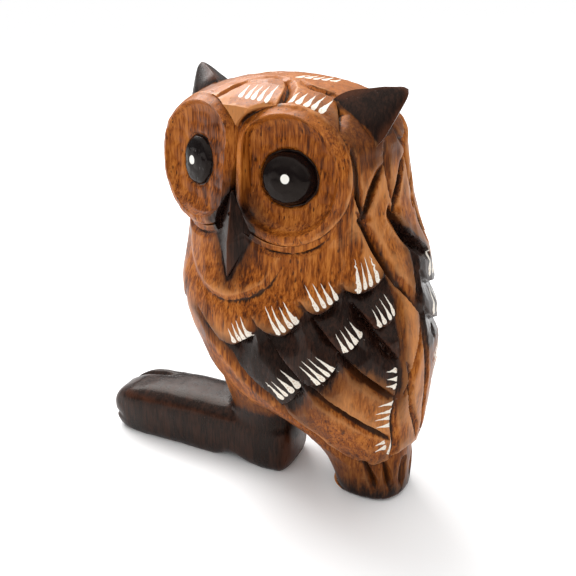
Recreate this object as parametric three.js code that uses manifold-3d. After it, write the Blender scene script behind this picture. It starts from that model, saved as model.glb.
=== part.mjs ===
import * as THREE from 'three';
import { ConvexGeometry } from 'three/addons/geometries/ConvexGeometry.js';
import { mergeVertices } from 'three/addons/utils/BufferGeometryUtils.js';
import Module from 'manifold-3d';

// A hand-carved wooden owl, cut from one block of wood. Millimetres, +Z up.
// The feet point along -Y, the tail rests behind along +Y, and the head is turned to the owl's left, +X.
// A place on the trunk is an angle, 0 at the owl's left side and 90 at its back, and a height.

// Driving dimensions
const HEIGHT = 106;
const HEAD_TURN = 77;
const FACE_OUT = 17.5;
const EYE_HEIGHT = 88;
const EYE_APART = 24.6;
const DISC_RADIUS = 15.2;
const DISC_SPLAY = 11;
const DISC_TILT = 7;
const EYE_RADIUS = 6.7;
const FEET_WIDE = 18;
const FEET_TALL = 16.8;
const TOE_REACH = 54.6;

const TRUNK_SIDES = 32;
const DISC_SIDES = 24;
const TUFT_SIDES = 10;
const FEET_SIDES = 16;

const wasm = await Module();
wasm.setup();

const rad = THREE.MathUtils.degToRad;
const lerp = THREE.MathUtils.lerp;

// A closed mesh as a solid, with its faces turned outwards.
function solid(geometry) {

	const bare = geometry.clone();
	bare.deleteAttribute('normal');
	bare.deleteAttribute('uv');
	const merged = mergeVertices(bare, 1e-4);
	const points = merged.attributes.position;
	const corners = new Uint32Array(merged.index.array);
	const [ a, b, c ] = [ new THREE.Vector3(), new THREE.Vector3(), new THREE.Vector3() ];
	let volume = 0;

	for (let i = 0; i < corners.length; i += 3) {

		a.fromBufferAttribute(points, corners[ i ]);
		b.fromBufferAttribute(points, corners[ i + 1 ]);
		c.fromBufferAttribute(points, corners[ i + 2 ]);
		volume += a.dot(b.cross(c));

	}

	if (volume < 0) corners.reverse();
	return new wasm.Manifold(new wasm.Mesh({
		numProp: 3,
		vertProperties: new Float32Array(points.array),
		triVerts: corners,
	}));

}

// A closed skin over rings: the wall and end caps of a cylinder, each point placed by its level and angle.
function loft(levels, sides, place) {

	const skin = new THREE.CylinderGeometry(1, 1, 1, sides, levels - 1);
	const points = skin.attributes.position;
	const point = new THREE.Vector3();

	for (let i = 0; i < points.count; i ++) {

		point.fromBufferAttribute(points, i);
		const level = Math.round((point.y + 0.5) * (levels - 1));
		const onRim = Math.hypot(point.x, point.z) > 0.5;
		const placed = place(level, Math.atan2(point.x, point.z), onRim ? 1 : 0);
		points.setXYZ(i, placed.x, placed.y, placed.z);

	}

	return solid(skin);

}

// A smooth value between the stations of an outline, which are listed along their key.
function between(stations, key, at, name) {

	const last = stations.length - 1;
	let i = 0;
	while (i < last - 1 && at > stations[i + 1][key]) i ++;
	const slope = k => {

		const before = stations[Math.max(k - 1, 0)];
		const after = stations[Math.min(k + 1, last)];
		return (after[name] - before[name]) / (after[key] - before[key]);

	};
	const low = stations[i];
	const high = stations[i + 1];
	const span = high[key] - low[key];
	const t = THREE.MathUtils.clamp((at - low[key]) / span, 0, 1);
	const s = 1 - t;
	return low[name] * (1 + 2 * t) * s * s + slope(i) * span * t * s * s
		+ high[name] * (3 - 2 * t) * t * t - slope(i + 1) * span * t * t * s;

}

// Trunk: head, body and tail as one form that leans back to the tail. At each height: its middle, half its
// depth from breast to back and half its width.
const TRUNK = [
	{ z: 0, y: 25.9, deep: 9.4, x: 0, wide: 9.6 },
	{ z: 10, y: 23.3, deep: 12.2, x: 0, wide: 10.4 },
	{ z: 20, y: 19.2, deep: 18.4, x: 0, wide: 15.5 },
	{ z: 30, y: 10.9, deep: 27.6, x: - 0.5, wide: 21.5 },
	{ z: 42, y: 7.8, deep: 31.3, x: - 1.0, wide: 25.2 },
	{ z: 54, y: 5.2, deep: 32.4, x: - 1.0, wide: 26.0 },
	{ z: 66, y: 4.0, deep: 30.6, x: - 2.8, wide: 24.6 },
	{ z: 73, y: 2.8, deep: 29.2, x: - 3.0, wide: 23.8 },
	{ z: 80, y: 1.4, deep: 28.4, x: - 2.2, wide: 24.6 },
	{ z: 92, y: - 0.6, deep: 28.2, x: - 1.0, wide: 25.6 },
];
const CROWN_FROM = 92;
const SQUARENESS = 2.3;
const RINGS = [ 0, 6, 12, 18, 24, 30, 37, 45, 53, 61, 69, 77, 85, 92, 97.5, 101.5, 104.3, 106 ];

function section(z) {

	const at = Math.min(z, CROWN_FROM);
	const rise = Math.max(z - CROWN_FROM, 0) / (HEIGHT - CROWN_FROM);
	const dome = Math.sqrt(Math.max(1 - Math.pow(rise, 2.2), 0));
	return {
		x: between(TRUNK, 'z', at, 'x'),
		y: between(TRUNK, 'z', at, 'y'),
		wide: between(TRUNK, 'z', at, 'wide') * dome,
		deep: between(TRUNK, 'z', at, 'deep') * dome,
		turned: rad(HEAD_TURN - 90) * THREE.MathUtils.smoothstep(z, 58, 84),
	};

}

// How far out a point is, as a share of the way from the trunk's middle to its surface.
function share(p) {

	const s = section(p.z);
	const a = Math.atan2(p.y - s.y, p.x - s.x) - s.turned;
	const r = Math.hypot(p.x - s.x, p.y - s.y);
	return Math.pow(
		Math.pow(Math.abs(Math.cos(a)) * r / Math.max(s.wide, 0.01), SQUARENESS)
		+ Math.pow(Math.abs(Math.sin(a)) * r / Math.max(s.deep, 0.01), SQUARENESS),
		1 / SQUARENESS
	);

}

function onSide(angle, z) {

	const s = section(z);
	const point = new THREE.Vector3(s.x + Math.cos(rad(angle)), s.y + Math.sin(rad(angle)), z);
	const reach = 1 / Math.max(share(point), 1e-3);
	return new THREE.Vector3(s.x + reach * Math.cos(rad(angle)), s.y + reach * Math.sin(rad(angle)), z);

}

// A point of the crown over a place in plan.
function onCrown(x, y) {

	let low = 80;
	let high = HEIGHT;
	for (let i = 0; i < 24; i ++) {

		const z = (low + high) / 2;
		if (share(new THREE.Vector3(x, y, z)) < 1) low = z;
		else high = z;

	}

	return new THREE.Vector3(x, y, low);

}

function outward(point) {

	const step = 0.3;
	const ahead = axis => share(point.clone().addScaledVector(axis, step));
	const behind = axis => share(point.clone().addScaledVector(axis, - step));
	const along = axis => ahead(axis) - behind(axis);
	const lowered = point.clone();
	lowered.z = Math.min(point.z, HEIGHT - 0.9);
	point = lowered;
	return new THREE.Vector3(
		along(new THREE.Vector3(1, 0, 0)),
		along(new THREE.Vector3(0, 1, 0)),
		along(new THREE.Vector3(0, 0, 1))
	).normalize();

}

const trunk = loft(RINGS.length, TRUNK_SIDES, (level, angle, rim) => {

	const z = RINGS[level];
	const s = section(z);
	if (rim === 0 || z === HEIGHT) return new THREE.Vector3(s.x, s.y, z);
	return onSide(THREE.MathUtils.radToDeg(angle), z);

});

// A knife cut of V section along a line on the surface, as a chain of wedges. When it leans, its floor lies
// towards the steep side. It fades out at its ends: start and end are the shares of the section left there.
const ABOVE = 1.2;
const SHALLOWEST = 0.3;

function cut(points, { wide, deep, lean = 0, steps = 4, start = 0.15, end = 0.15, facing = outward }) {

	const line = new THREE.CatmullRomCurve3(points);
	const corners = t => {

		const middle = line.getPoint(t);
		const normal = facing(middle);
		const side = new THREE.Vector3().crossVectors(line.getTangent(t), normal).normalize();
		const strength = Math.min(1, lerp(start, 1, t * 3), lerp(end, 1, (1 - t) * 3));
		const depth = Math.max(deep * strength, SHALLOWEST);
		const half = wide * strength / 2;
		const floor = middle.clone().addScaledVector(normal, - depth).addScaledVector(side, lean * half);
		const edge = sign => {

			const lip = middle.clone().addScaledVector(side, sign * half);
			return lip.add(lip.clone().sub(floor).multiplyScalar(ABOVE / depth));

		};
		return [ floor, edge(1), edge(- 1) ];

	};
	let chain = solid(new ConvexGeometry([ ...corners(0), ...corners(1 / steps) ]));
	for (let i = 1; i < steps; i ++) {

		chain = chain.add(solid(new ConvexGeometry([ ...corners(i / steps), ...corners((i + 1) / steps) ])));

	}

	return chain;

}

const onTrunk = places => places.map(([ angle, z ]) => onSide(angle, z));
const onTop = places => places.map(([ x, y ]) => onCrown(x, y));

const removed = [];
const carve = (points, shape) => removed.push(cut(points, shape));

// Head frame: forward out of the face, sideways to the owl's left, up.
const forward = new THREE.Vector3(Math.sin(rad(HEAD_TURN)), - Math.cos(rad(HEAD_TURN)), 0);
const sideways = new THREE.Vector3(Math.cos(rad(HEAD_TURN)), Math.sin(rad(HEAD_TURN)), 0);
const HEAD_MIDDLE = new THREE.Vector3(0, - 0.5, 0);
const inHead = (across, out, up) => HEAD_MIDDLE.clone().addScaledVector(sideways, across)
	.addScaledVector(forward, out).add(new THREE.Vector3(0, 0, up));

// Face discs: each a D with its straight side at the nose, hollowed like a dish inside a rim, with the eye
// a dome inside a gouged ring. Rows run from deep in the head out and in to the top of the eye.
const NOSE_SIDE = 11.6;
const DISC_PROFILE = [
	{ radius: DISC_RADIUS + 3.2, nose: NOSE_SIDE + 1.0, out: - 13 },
	{ radius: DISC_RADIUS + 1.4, nose: NOSE_SIDE + 0.4, out: - 3.4 },
	{ radius: DISC_RADIUS, nose: NOSE_SIDE, out: - 0.5 },
	{ radius: DISC_RADIUS - 0.9, nose: NOSE_SIDE - 0.6, out: 0 },
	{ radius: DISC_RADIUS - 2.2, nose: NOSE_SIDE - 1.6, out: - 0.9 },
	{ radius: DISC_RADIUS - 4.8, nose: 9.6, out: - 2.3 },
	{ radius: EYE_RADIUS + 0.9, nose: 9.6, out: - 2.9 },
	{ radius: EYE_RADIUS + 0.3, nose: 9.6, out: - 3.9 },
	{ radius: EYE_RADIUS, nose: 9.6, out: - 3.4 },
	{ radius: EYE_RADIUS - 0.9, nose: 9.6, out: - 1.3 },
	{ radius: EYE_RADIUS - 2.9, nose: 9.6, out: 0.0 },
	{ radius: 0, nose: 9.6, out: 0.5 },
];

function faceDisc(side) {

	const turn = rad(HEAD_TURN + side * DISC_SPLAY);
	const flat = new THREE.Vector3(Math.sin(turn), - Math.cos(turn), 0);
	const across = new THREE.Vector3(Math.cos(turn), Math.sin(turn), 0);
	const out = flat.clone().multiplyScalar(Math.cos(rad(DISC_TILT))).setZ(Math.sin(rad(DISC_TILT)));
	const up = new THREE.Vector3().crossVectors(out, across);
	const middle = inHead(side * EYE_APART / 2, FACE_OUT, EYE_HEIGHT);
	const at = (a, b, c) => middle.clone().addScaledVector(across, a).addScaledVector(up, b)
		.addScaledVector(out, c);
	const dish = loft(DISC_PROFILE.length, DISC_SIDES, (level, angle, rim) => {

		const row = DISC_PROFILE[level];
		const nose = - side * Math.cos(angle);
		const radius = nose > 0 ? Math.min(row.radius, row.nose / nose) : row.radius;
		return at(rim * radius * Math.cos(angle), rim * radius * Math.sin(angle), row.out);

	});
	const clear = loft(2, DISC_SIDES, (level, angle, rim) => {

		const radius = (DISC_RADIUS + 0.7) * (1 + 0.3 * level) * rim;
		return at(radius * Math.cos(angle), radius * Math.sin(angle), lerp(- 1.6, 18, level));

	});
	return { dish, clear };

}

// Beak: a kite with a ridge down its middle, between two hollows.
function beakBlock() {

	return solid(new ConvexGeometry([
		inHead(0, 20.0, 83.5),
		inHead(0, 22.2, 71),
		inHead(0, 22.6, 63),
		inHead(4.3, 19.2, 73),
		inHead(- 4.3, 19.2, 73),
		inHead(3.4, 14, 73),
		inHead(- 3.4, 14, 73),
		inHead(0, 12, 82),
		inHead(0, 12, 66),
	]));

}

function beakHollow(side) {

	return solid(new ConvexGeometry([
		inHead(side * 0.2, 25, 86.5),
		inHead(side * 0.6, 16.6, 82),
		inHead(- side * 0.5, 25, 74),
		inHead(- side * 0.5, 17, 75),
		inHead(side * 4.4, 16.8, 74.5),
		inHead(side * 7.0, 25, 74.5),
		inHead(side * 4.6, 25, 70.5),
	]));

}

// Ear tuft: a fat curved cone on each upper side of the head.
const TUFT = [
	{ along: - 7, radius: 6.6 },
	{ along: 0, radius: 6.9 },
	{ along: 3.2, radius: 6.2 },
	{ along: 6.4, radius: 4.6 },
	{ along: 9.6, radius: 2.9 },
	{ along: 12.2, radius: 1.2 },
	{ along: 12.9, radius: 0 },
];

function tuft(side) {

	const base = inHead(side * 20.9, 0.9, 97.6);
	const tip = inHead(side * 30.6, - 3.9, 106);
	const axis = tip.clone().sub(base).normalize();
	const fore = forward.clone().addScaledVector(axis, - forward.dot(axis)).normalize();
	const upper = new THREE.Vector3().crossVectors(fore, axis).multiplyScalar(side).normalize();
	return loft(TUFT.length, TUFT_SIDES, (level, angle, rim) => {

		const { along, radius } = TUFT[level];
		return base.clone().addScaledVector(axis, along)
			.addScaledVector(fore, rim * radius * Math.cos(angle) * side)
			.addScaledVector(upper, rim * radius * Math.sin(angle));

	});

}

// Feet: both feet and their toes are one rounded block under the middle of the body, with the leg above it.
const FEET = [
	{ y: - TOE_REACH, half: 4.4, low: 3.6, high: 9.0 },
	{ y: - TOE_REACH + 1, half: 6.4, low: 1.4, high: 10.8 },
	{ y: - TOE_REACH + 3.6, half: 7.9, low: - 0.8, high: 12.8 },
	{ y: - 46.5, half: 8.7, low: - 1.6, high: 14.8 },
	{ y: - 36, half: FEET_WIDE / 2, low: - 1.6, high: FEET_TALL - 0.6 },
	{ y: - 20, half: FEET_WIDE / 2, low: - 1.4, high: FEET_TALL },
	{ y: - 14, half: FEET_WIDE / 2, low: 0.4, high: FEET_TALL },
	{ y: - 7, half: FEET_WIDE / 2 + 0.2, low: - 1.6, high: FEET_TALL },
	{ y: 0.6, half: FEET_WIDE / 2, low: - 1.6, high: FEET_TALL },
	{ y: 2.8, half: 7.6, low: 0.2, high: FEET_TALL - 1 },
	{ y: 3.8, half: 5.4, low: 2.0, high: FEET_TALL - 3 },
];
const BLOCK_SQUARENESS = 4;
const FEET_ACROSS = 0.8;
const rounded = (value, power) => Math.sign(value) * Math.pow(Math.abs(value), 2 / power);

const feet = loft(FEET.length, FEET_SIDES, (level, angle, rim) => {

	const { y, half, low, high } = FEET[level];
	const tall = (high - low) / 2;
	return new THREE.Vector3(
		FEET_ACROSS + rim * half * rounded(Math.cos(angle), BLOCK_SQUARENESS),
		y,
		low + tall + rim * tall * rounded(Math.sin(angle), BLOCK_SQUARENESS)
	);

});

// A groove between the toes runs along the block's top and down its front end, with a nick beside its foot.
const TOE_GROOVE_ACROSS = - 2.8;
const overTheToes = p => new THREE.Vector3(0, Math.min(FEET_TALL - 4 - p.z, - 0.1), 8).normalize();
const toeGroove = cut([
	new THREE.Vector3(TOE_GROOVE_ACROSS - 0.6, - 35, FEET_TALL - 0.5),
	new THREE.Vector3(TOE_GROOVE_ACROSS, - 44, 15.1),
	new THREE.Vector3(TOE_GROOVE_ACROSS, - TOE_REACH + 3.6, 12.8),
	new THREE.Vector3(TOE_GROOVE_ACROSS, - TOE_REACH + 0.6, 9.6),
	new THREE.Vector3(TOE_GROOVE_ACROSS, - TOE_REACH, 4),
], { wide: 3, deep: 1.9, steps: 8, facing: overTheToes });
const toeNick = cut([
	new THREE.Vector3(- 1.5, - TOE_REACH + 0.1, 4.6),
	new THREE.Vector3(2.5, - TOE_REACH + 0.1, 3.6),
	new THREE.Vector3(6, - TOE_REACH + 1.4, 4),
], { wide: 2, deep: 1.3, steps: 3, facing: () => new THREE.Vector3(0, - 1, 0) });

const LEG = [
	{ z: 9, y: - 5.2, deep: 9.2, wide: 8.3 },
	{ z: 17, y: - 5.2, deep: 9.4, wide: 8.8 },
	{ z: 23, y: - 4.6, deep: 11.4, wide: 10.6 },
	{ z: 30, y: - 2.5, deep: 14.6, wide: 13.4 },
	{ z: 36, y: - 0.5, deep: 15.6, wide: 14.2 },
];
const LEG_SQUARENESS = 2.6;
const leg = loft(LEG.length, FEET_SIDES, (level, angle, rim) => {

	const { z, y, deep, wide } = LEG[level];
	return new THREE.Vector3(
		FEET_ACROSS + rim * wide * rounded(Math.cos(angle), LEG_SQUARENESS),
		y + rim * deep * rounded(Math.sin(angle), LEG_SQUARENESS),
		z
	);

});

// Wings: rows of scallops step down from the shoulder to long flight feathers. The place across a wing runs
// from 0 at its front edge to 1 at its rear edge; each edge is an angle that changes with height.
const NEAR_WING = {
	feathers: 4,
	gather: 0.68,
	front: [
		{ z: 15, angle: 0 }, { z: 22, angle: - 8 }, { z: 31, angle: - 6 }, { z: 35, angle: - 16 },
		{ z: 44.5, angle: - 30 }, { z: 53, angle: - 44 }, { z: 66, angle: - 60 },
	],
	rear: [
		{ z: 15, angle: 48 }, { z: 24, angle: 55 }, { z: 37, angle: 60 }, { z: 51, angle: 63 },
		{ z: 66, angle: 58 },
	],
	scale: 1,
};
const FAR_WING = {
	feathers: 5,
	gather: 1,
	front: [
		{ z: 15, angle: 186 }, { z: 22, angle: 202 }, { z: 30, angle: 226 }, { z: 38, angle: 254 },
		{ z: 46, angle: 282 }, { z: 54, angle: 304 }, { z: 66, angle: 316 },
	],
	rear: [
		{ z: 15, angle: 98 }, { z: 24, angle: 90 }, { z: 37, angle: 84 }, { z: 51, angle: 80 },
		{ z: 66, angle: 80 },
	],
	scale: - 1,
};
const SHOULDER_ROW = t => 48 + 17 * t;
const MIDDLE_ROW = t => 31.5 + 25.5 * Math.pow(t, 1.25);
const FLIGHT_END = t => 15 + 41.5 * t;

function carveWing(wing) {

	const place = (t, z) => [
		lerp(between(wing.front, 'z', z, 'angle'), between(wing.rear, 'z', z, 'angle'), t), z,
	];
	const lean = wing.scale;
	const line = places => onTrunk(places.map(([ t, z ]) => place(t, z)));
	const row = (height, shape) => {

		for (let k = 0; k < wing.feathers; k ++) {

			const from = Math.pow(k / wing.feathers, wing.gather) + 0.02;
			const to = Math.pow((k + 1) / wing.feathers, wing.gather) - 0.01;
			const at = (s, drop) => [ lerp(from, to, s), height(lerp(from, to, s)) - drop ];
			carve(line([ at(0, 2.8), at(0.25, 5.0), at(0.6, 5.2), at(0.9, 3.6), at(1, 1.8) ]), shape);

		}

	};
	row(SHOULDER_ROW, { wide: 4.6, deep: 1.9, lean: - 0.8 * lean });
	row(MIDDLE_ROW, { wide: 4.2, deep: 1.7, lean: - 0.8 * lean });

	for (let k = 1; k < wing.feathers; k ++) {

		const t = Math.pow(k / wing.feathers, wing.gather);
		const sweep = 0.14 * k / wing.feathers;
		carve(line([
			[ t, SHOULDER_ROW(t) - 0.5 ],
			[ t + sweep * 0.4, lerp(SHOULDER_ROW(t), MIDDLE_ROW(t), 0.5) ],
			[ t + sweep, MIDDLE_ROW(t) - 2 ],
		]), { wide: 4.4, deep: 2.6, lean: - 0.7 * lean });
		carve(line([
			[ t + sweep, MIDDLE_ROW(t) - 2.5 ],
			[ lerp(t + sweep, 1, 0.45), lerp(MIDDLE_ROW(t) - 2.5, FLIGHT_END(k / wing.feathers), 0.45) ],
			[ 0.97, FLIGHT_END(k / wing.feathers) ],
		]), { wide: 3.4, deep: 1.7, lean: - 0.6 * lean });

	}

	const edge = (stations, first, last) => {

		const places = [];
		const steps = 6;
		for (let i = 0; i <= steps; i ++) {

			const z = lerp(first, last, i / steps);
			places.push([ between(stations, 'z', z, 'angle'), z ]);

		}

		return onTrunk(places);

	};
	carve(edge(wing.front, 56, 16), { wide: 5.4, deep: 1.7, lean: - 0.85 * lean, steps: 6 });
	carve(edge(wing.rear, 64, 15.5), { wide: 3.2, deep: 1.4, lean: 0.5 * lean });

}

carveWing(NEAR_WING);
carveWing(FAR_WING);

// Neck and back: leaf feathers whose edges are knife cuts that meet at each leaf's tip.
const NECK_LEAVES = 10;
const LEAF_STEP = 20.5;
for (let k = 0; k < NECK_LEAVES; k ++) {

	const angle = 53 + k * LEAF_STEP;
	const nearEdge = onTrunk([ [ angle, 94 ], [ angle - 0.5, 87 ], [ angle + 1, 80 ] ]);
	const farEdge = onTrunk([ [ angle + 18, 91 ], [ angle + 11, 86 ], [ angle + 2, 80 ] ]);
	carve(nearEdge, { wide: 2.6, deep: 1.5, lean: 0.5, steps: 3 });
	carve(farEdge, { wide: 2.4, deep: 1.2, steps: 3 });

}

carve(onTrunk([ [ 53, 79.5 ], [ 58, 71 ], [ 65, 60 ], [ 75, 55.5 ] ]), { wide: 3, deep: 1.6, lean: 0.6 });
carve(onTrunk([ [ 74, 79 ], [ 83, 73 ], [ 94, 66.5 ] ]), { wide: 3.4, deep: 2.2, lean: - 0.6, end: 0.8 });
carve(onTrunk([ [ 75, 78 ], [ 77, 66 ], [ 76, 56 ] ]), { wide: 3, deep: 1.6, lean: 0.6 });
carve(onTrunk([ [ 64, 53 ], [ 65, 45 ], [ 64, 38 ] ]), { wide: 2, deep: 1.1 });
carve(onTrunk([ [ 68, 46 ], [ 74, 33 ], [ 80, 20 ] ]), { wide: 2.2, deep: 1.3 });

const MANTLE_LEAVES = 8;
for (let k = 0; k < MANTLE_LEAVES; k ++) {

	const angle = 97 + k * 22;
	const edge = onTrunk([ [ angle, 79 ], [ angle + 8, 69.5 ], [ angle + 17, 79 ] ]);
	carve(edge, { wide: 3, deep: 1.4, lean: - 0.6 });

}

// Breast: a shallow bib is hollowed under the beak, and the breast stands a little over its lower edge.
carve(onTrunk([
	[ 27, 77 ], [ 14, 71.5 ], [ 2, 65.5 ], [ - 10, 62 ], [ - 24, 60 ], [ - 38, 60 ], [ - 50, 63 ], [ - 62, 69 ],
]), { wide: 7.5, deep: 1.3, lean: - 0.7, steps: 7 });

// Crown: short feathers in rows from the brow back, cut in plan on the top of the head.
const crownPlace = (across, out) => {

	const point = inHead(across, out, 0);
	return [ point.x, point.y ];

};
for (const side of [ - 1, 1 ]) {

	const crownCut = (places, shape) => {

		const points = onTop(places.map(([ across, out ]) => crownPlace(side * across, out)));
		carve(points, { ...shape, lean: (shape.lean ?? 0) * side });

	};
	crownCut([ [ side > 0 ? 2.6 : 1, 5.8 ], [ 6, 11 ], [ 9, 14.6 ] ], { wide: 2.8, deep: 1.4 });
	crownCut([ [ 3.2, 6.0 ], [ 8.8, 3.6 ], [ 13.5, 1.6 ] ], { wide: 2.6, deep: 1.1, lean: 0.7 });
	crownCut([ [ 14, 1.8 ], [ 18.2, 6.6 ], [ 21.8, 11 ] ], { wide: 2.6, deep: 1.2 });
	crownCut([ [ 1.5, - 3.5 ], [ 8, - 7.5 ], [ 14, - 6 ] ], { wide: 2.6, deep: 1.1, lean: 0.7 });
	crownCut([ [ 3, - 13 ], [ 10, - 15 ], [ 17, - 11 ] ], { wide: 2.6, deep: 1.1, lean: 0.7 });

}

// Back of the head: two rows of short leaves between the crown and the neck.
for (const { from, step, leaves, height } of [
	{ from: 84, step: 24, leaves: 7, height: 98 },
	{ from: 100, step: 34, leaves: 4, height: 102.6 },
]) {

	for (let k = 0; k < leaves; k ++) {

		const angle = from + k * step;
		const tip = [ angle + step * 0.4, height - 4.6 ];
		const edge = onTrunk([ [ angle, height ], tip, [ angle + step * 0.8, height ] ]);
		carve(edge, { wide: 2.4, deep: 1.1, lean: - 0.6 });

	}

}

// Wing tips over the tail, and the tail's own feathers below them.
carve(onTrunk([
	[ - 20, 19 ], [ 0, 15 ], [ 22, 13 ], [ 46, 14.5 ], [ 70, 17 ],
	[ 96, 14.5 ], [ 125, 13 ], [ 155, 15 ], [ 178, 19 ],
]), { wide: 7, deep: 1.6, lean: - 0.85, steps: 8 });
for (const angle of [ 16, 40, 66, 96, 126, 156 ]) {

	carve(onTrunk([ [ angle, 14 ], [ angle + 1, 9 ], [ angle + 2, 3 ] ]), { wide: 2.2, deep: 1.6, steps: 3 });

}

// The brow between the discs is cut back to the height of their rims.
const brow = solid(new ConvexGeometry([ 20, 40 ].flatMap(out => [ - 9, 9 ].flatMap(across => [
	inHead(across, out, 80),
	inHead(across, out - 2.6, 104),
]))));

const discs = [ - 1, 1 ].map(faceDisc);
let body = trunk.add(leg).subtract(brow);
for (const { clear } of discs) body = body.subtract(clear);
for (const { dish } of discs) body = body.add(dish);
for (const tool of removed) body = body.subtract(tool);
for (const side of [ - 1, 1 ]) body = body.subtract(beakHollow(side));
body = body.add(beakBlock()).add(feet.subtract(toeGroove).subtract(toeNick));
for (const side of [ - 1, 1 ]) body = body.add(tuft(side));

// What lies below the ground is sawn off flat.
const GROUND = 200;
body = body.subtract(solid(new THREE.BoxGeometry(GROUND, GROUND, GROUND).translate(0, 0, - GROUND / 2)));

// A solid's faces. Points are merged where cuts all but meet, and faces that fold flat on each other go.
const SAME_POINT = 0.06;

function faces(manifold) {

	const mesh = manifold.getMesh();
	const raw = new THREE.BufferGeometry();
	raw.setAttribute('position', new THREE.BufferAttribute(new Float32Array(mesh.vertProperties), 3));
	raw.setIndex(new THREE.BufferAttribute(new Uint32Array(mesh.triVerts), 1));
	const merged = mergeVertices(raw, SAME_POINT);
	const corners = merged.index.array;
	const kept = new Map();
	for (let i = 0; i < corners.length; i += 3) {

		const face = [ corners[i], corners[i + 1], corners[i + 2] ];
		if (new Set(face).size < 3) continue;
		const key = [ ...face ].sort().join();
		if (kept.has(key)) kept.delete(key);
		else kept.set(key, face);

	}

	merged.setIndex([ ...kept.values() ].flat());
	return merged;

}

// The whole owl stands with the middle of its outline over the origin.
const geometry = faces(body);
geometry.computeBoundingBox();
const middle = geometry.boundingBox.getCenter(new THREE.Vector3());
geometry.translate(- middle.x, - middle.y, 0);
geometry.computeVertexNormals();

const wood = new THREE.MeshStandardMaterial({ color: 0x96501e, roughness: 0.45, metalness: 0 });
const carvedOwl = new THREE.Mesh(geometry, wood);
carvedOwl.name = 'carved_owl';

const owl = new THREE.Group();
owl.add(carvedOwl);

export default owl;
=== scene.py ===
import math

import bpy
import numpy as np
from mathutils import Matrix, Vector


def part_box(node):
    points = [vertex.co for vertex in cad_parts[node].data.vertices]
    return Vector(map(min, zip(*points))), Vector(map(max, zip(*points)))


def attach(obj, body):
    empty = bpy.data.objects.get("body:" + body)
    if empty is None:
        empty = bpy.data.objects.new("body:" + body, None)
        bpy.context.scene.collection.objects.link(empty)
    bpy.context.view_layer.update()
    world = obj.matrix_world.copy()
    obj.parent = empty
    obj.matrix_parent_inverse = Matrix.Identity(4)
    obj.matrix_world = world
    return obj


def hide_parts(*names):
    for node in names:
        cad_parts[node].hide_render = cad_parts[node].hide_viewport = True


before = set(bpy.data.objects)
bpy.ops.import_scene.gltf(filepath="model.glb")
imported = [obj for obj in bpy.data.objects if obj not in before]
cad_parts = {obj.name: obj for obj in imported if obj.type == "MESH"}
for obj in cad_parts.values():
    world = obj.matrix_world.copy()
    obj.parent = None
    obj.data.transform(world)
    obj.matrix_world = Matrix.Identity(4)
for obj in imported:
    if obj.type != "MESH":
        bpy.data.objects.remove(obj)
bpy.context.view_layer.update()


# The block
# One block of close-grained brown wood, roughed out as one form that leans back onto its tail. A place on it
# is an angle round its middle, 0 at the owl's left side and 90 at its back, and a height. Everything is in
# millimetres until the finished carving is set down in the frame.
HEIGHT = 106.0
CROWN_FROM = 92.0
SQUARENESS = 2.3
HEAD_TURN = 77.0
STATIONS = np.array([
    # height, middle back, half depth, middle across, half width
    (0, 25.9, 9.4, 0.0, 9.6),
    (10, 23.3, 12.2, 0.0, 10.4),
    (20, 19.2, 18.4, 0.0, 15.5),
    (30, 10.9, 27.6, -0.5, 21.5),
    (42, 7.8, 31.3, -1.0, 25.2),
    (54, 5.2, 32.4, -1.0, 26.0),
    (66, 4.0, 30.6, -2.8, 24.6),
    (73, 2.8, 29.2, -3.0, 23.8),
    (80, 1.4, 28.4, -2.2, 24.6),
    (92, -0.6, 28.2, -1.0, 25.6),
])


def between(keys, values, at):
    """A smooth value between the stations of an outline."""
    keys, values = np.asarray(keys, float), np.asarray(values, float)
    at = np.asarray(at, float)
    i = np.clip(np.searchsorted(keys, at, side="right") - 1, 0, len(keys) - 2)
    slope = np.gradient(values, keys)
    slope[1:-1] = (values[2:] - values[:-2]) / (keys[2:] - keys[:-2])
    span = keys[i + 1] - keys[i]
    t = np.clip((at - keys[i]) / span, 0, 1)
    s = 1 - t
    low = values[i] * (1 + 2 * t) * s * s + slope[i] * span * t * s * s
    high = values[i + 1] * (3 - 2 * t) * t * t - slope[i + 1] * span * t * t * s
    return low + high


def smooth(value, low, high):
    t = np.clip((np.asarray(value, float) - low) / (high - low), 0, 1)
    return t * t * (3 - 2 * t)


def section(z):
    """Middle, half sizes and turn of the block at each height."""
    z = np.asarray(z, float)
    at = np.minimum(z, CROWN_FROM)
    rise = np.clip((z - CROWN_FROM) / (HEIGHT - CROWN_FROM), 0, 1)
    dome = np.sqrt(np.clip(1 - rise ** 2.2, 0, 1))
    y, deep, x, wide = (between(STATIONS[:, 0], STATIONS[:, k], at) for k in (1, 2, 3, 4))
    turned = math.radians(HEAD_TURN - 90) * smooth(z, 58, 84)
    return x, y, np.maximum(wide * dome, 1e-3), np.maximum(deep * dome, 1e-3), turned


def share(p):
    """How far out points are, as a share of the way from the block's middle to its surface."""
    x, y, wide, deep, turned = section(p[:, 2])
    angle = np.arctan2(p[:, 1] - y, p[:, 0] - x) - turned
    r = np.hypot(p[:, 0] - x, p[:, 1] - y)
    across = np.abs(np.cos(angle)) * r / wide
    back = np.abs(np.sin(angle)) * r / deep
    return (across ** SQUARENESS + back ** SQUARENESS) ** (1 / SQUARENESS)


def on_side(angle, z):
    """Points of the surface at angles in degrees and heights."""
    angle, z = np.broadcast_arrays(np.radians(np.asarray(angle, float)), np.asarray(z, float))
    angle, z = angle.ravel(), z.ravel()
    x, y, wide, deep, turned = section(z)
    flat = np.abs(np.cos(angle - turned) / wide) ** SQUARENESS
    flat = flat + np.abs(np.sin(angle - turned) / deep) ** SQUARENESS
    reach = flat ** (-1 / SQUARENESS)
    return np.stack([x + reach * np.cos(angle), y + reach * np.sin(angle), z], 1)


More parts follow.
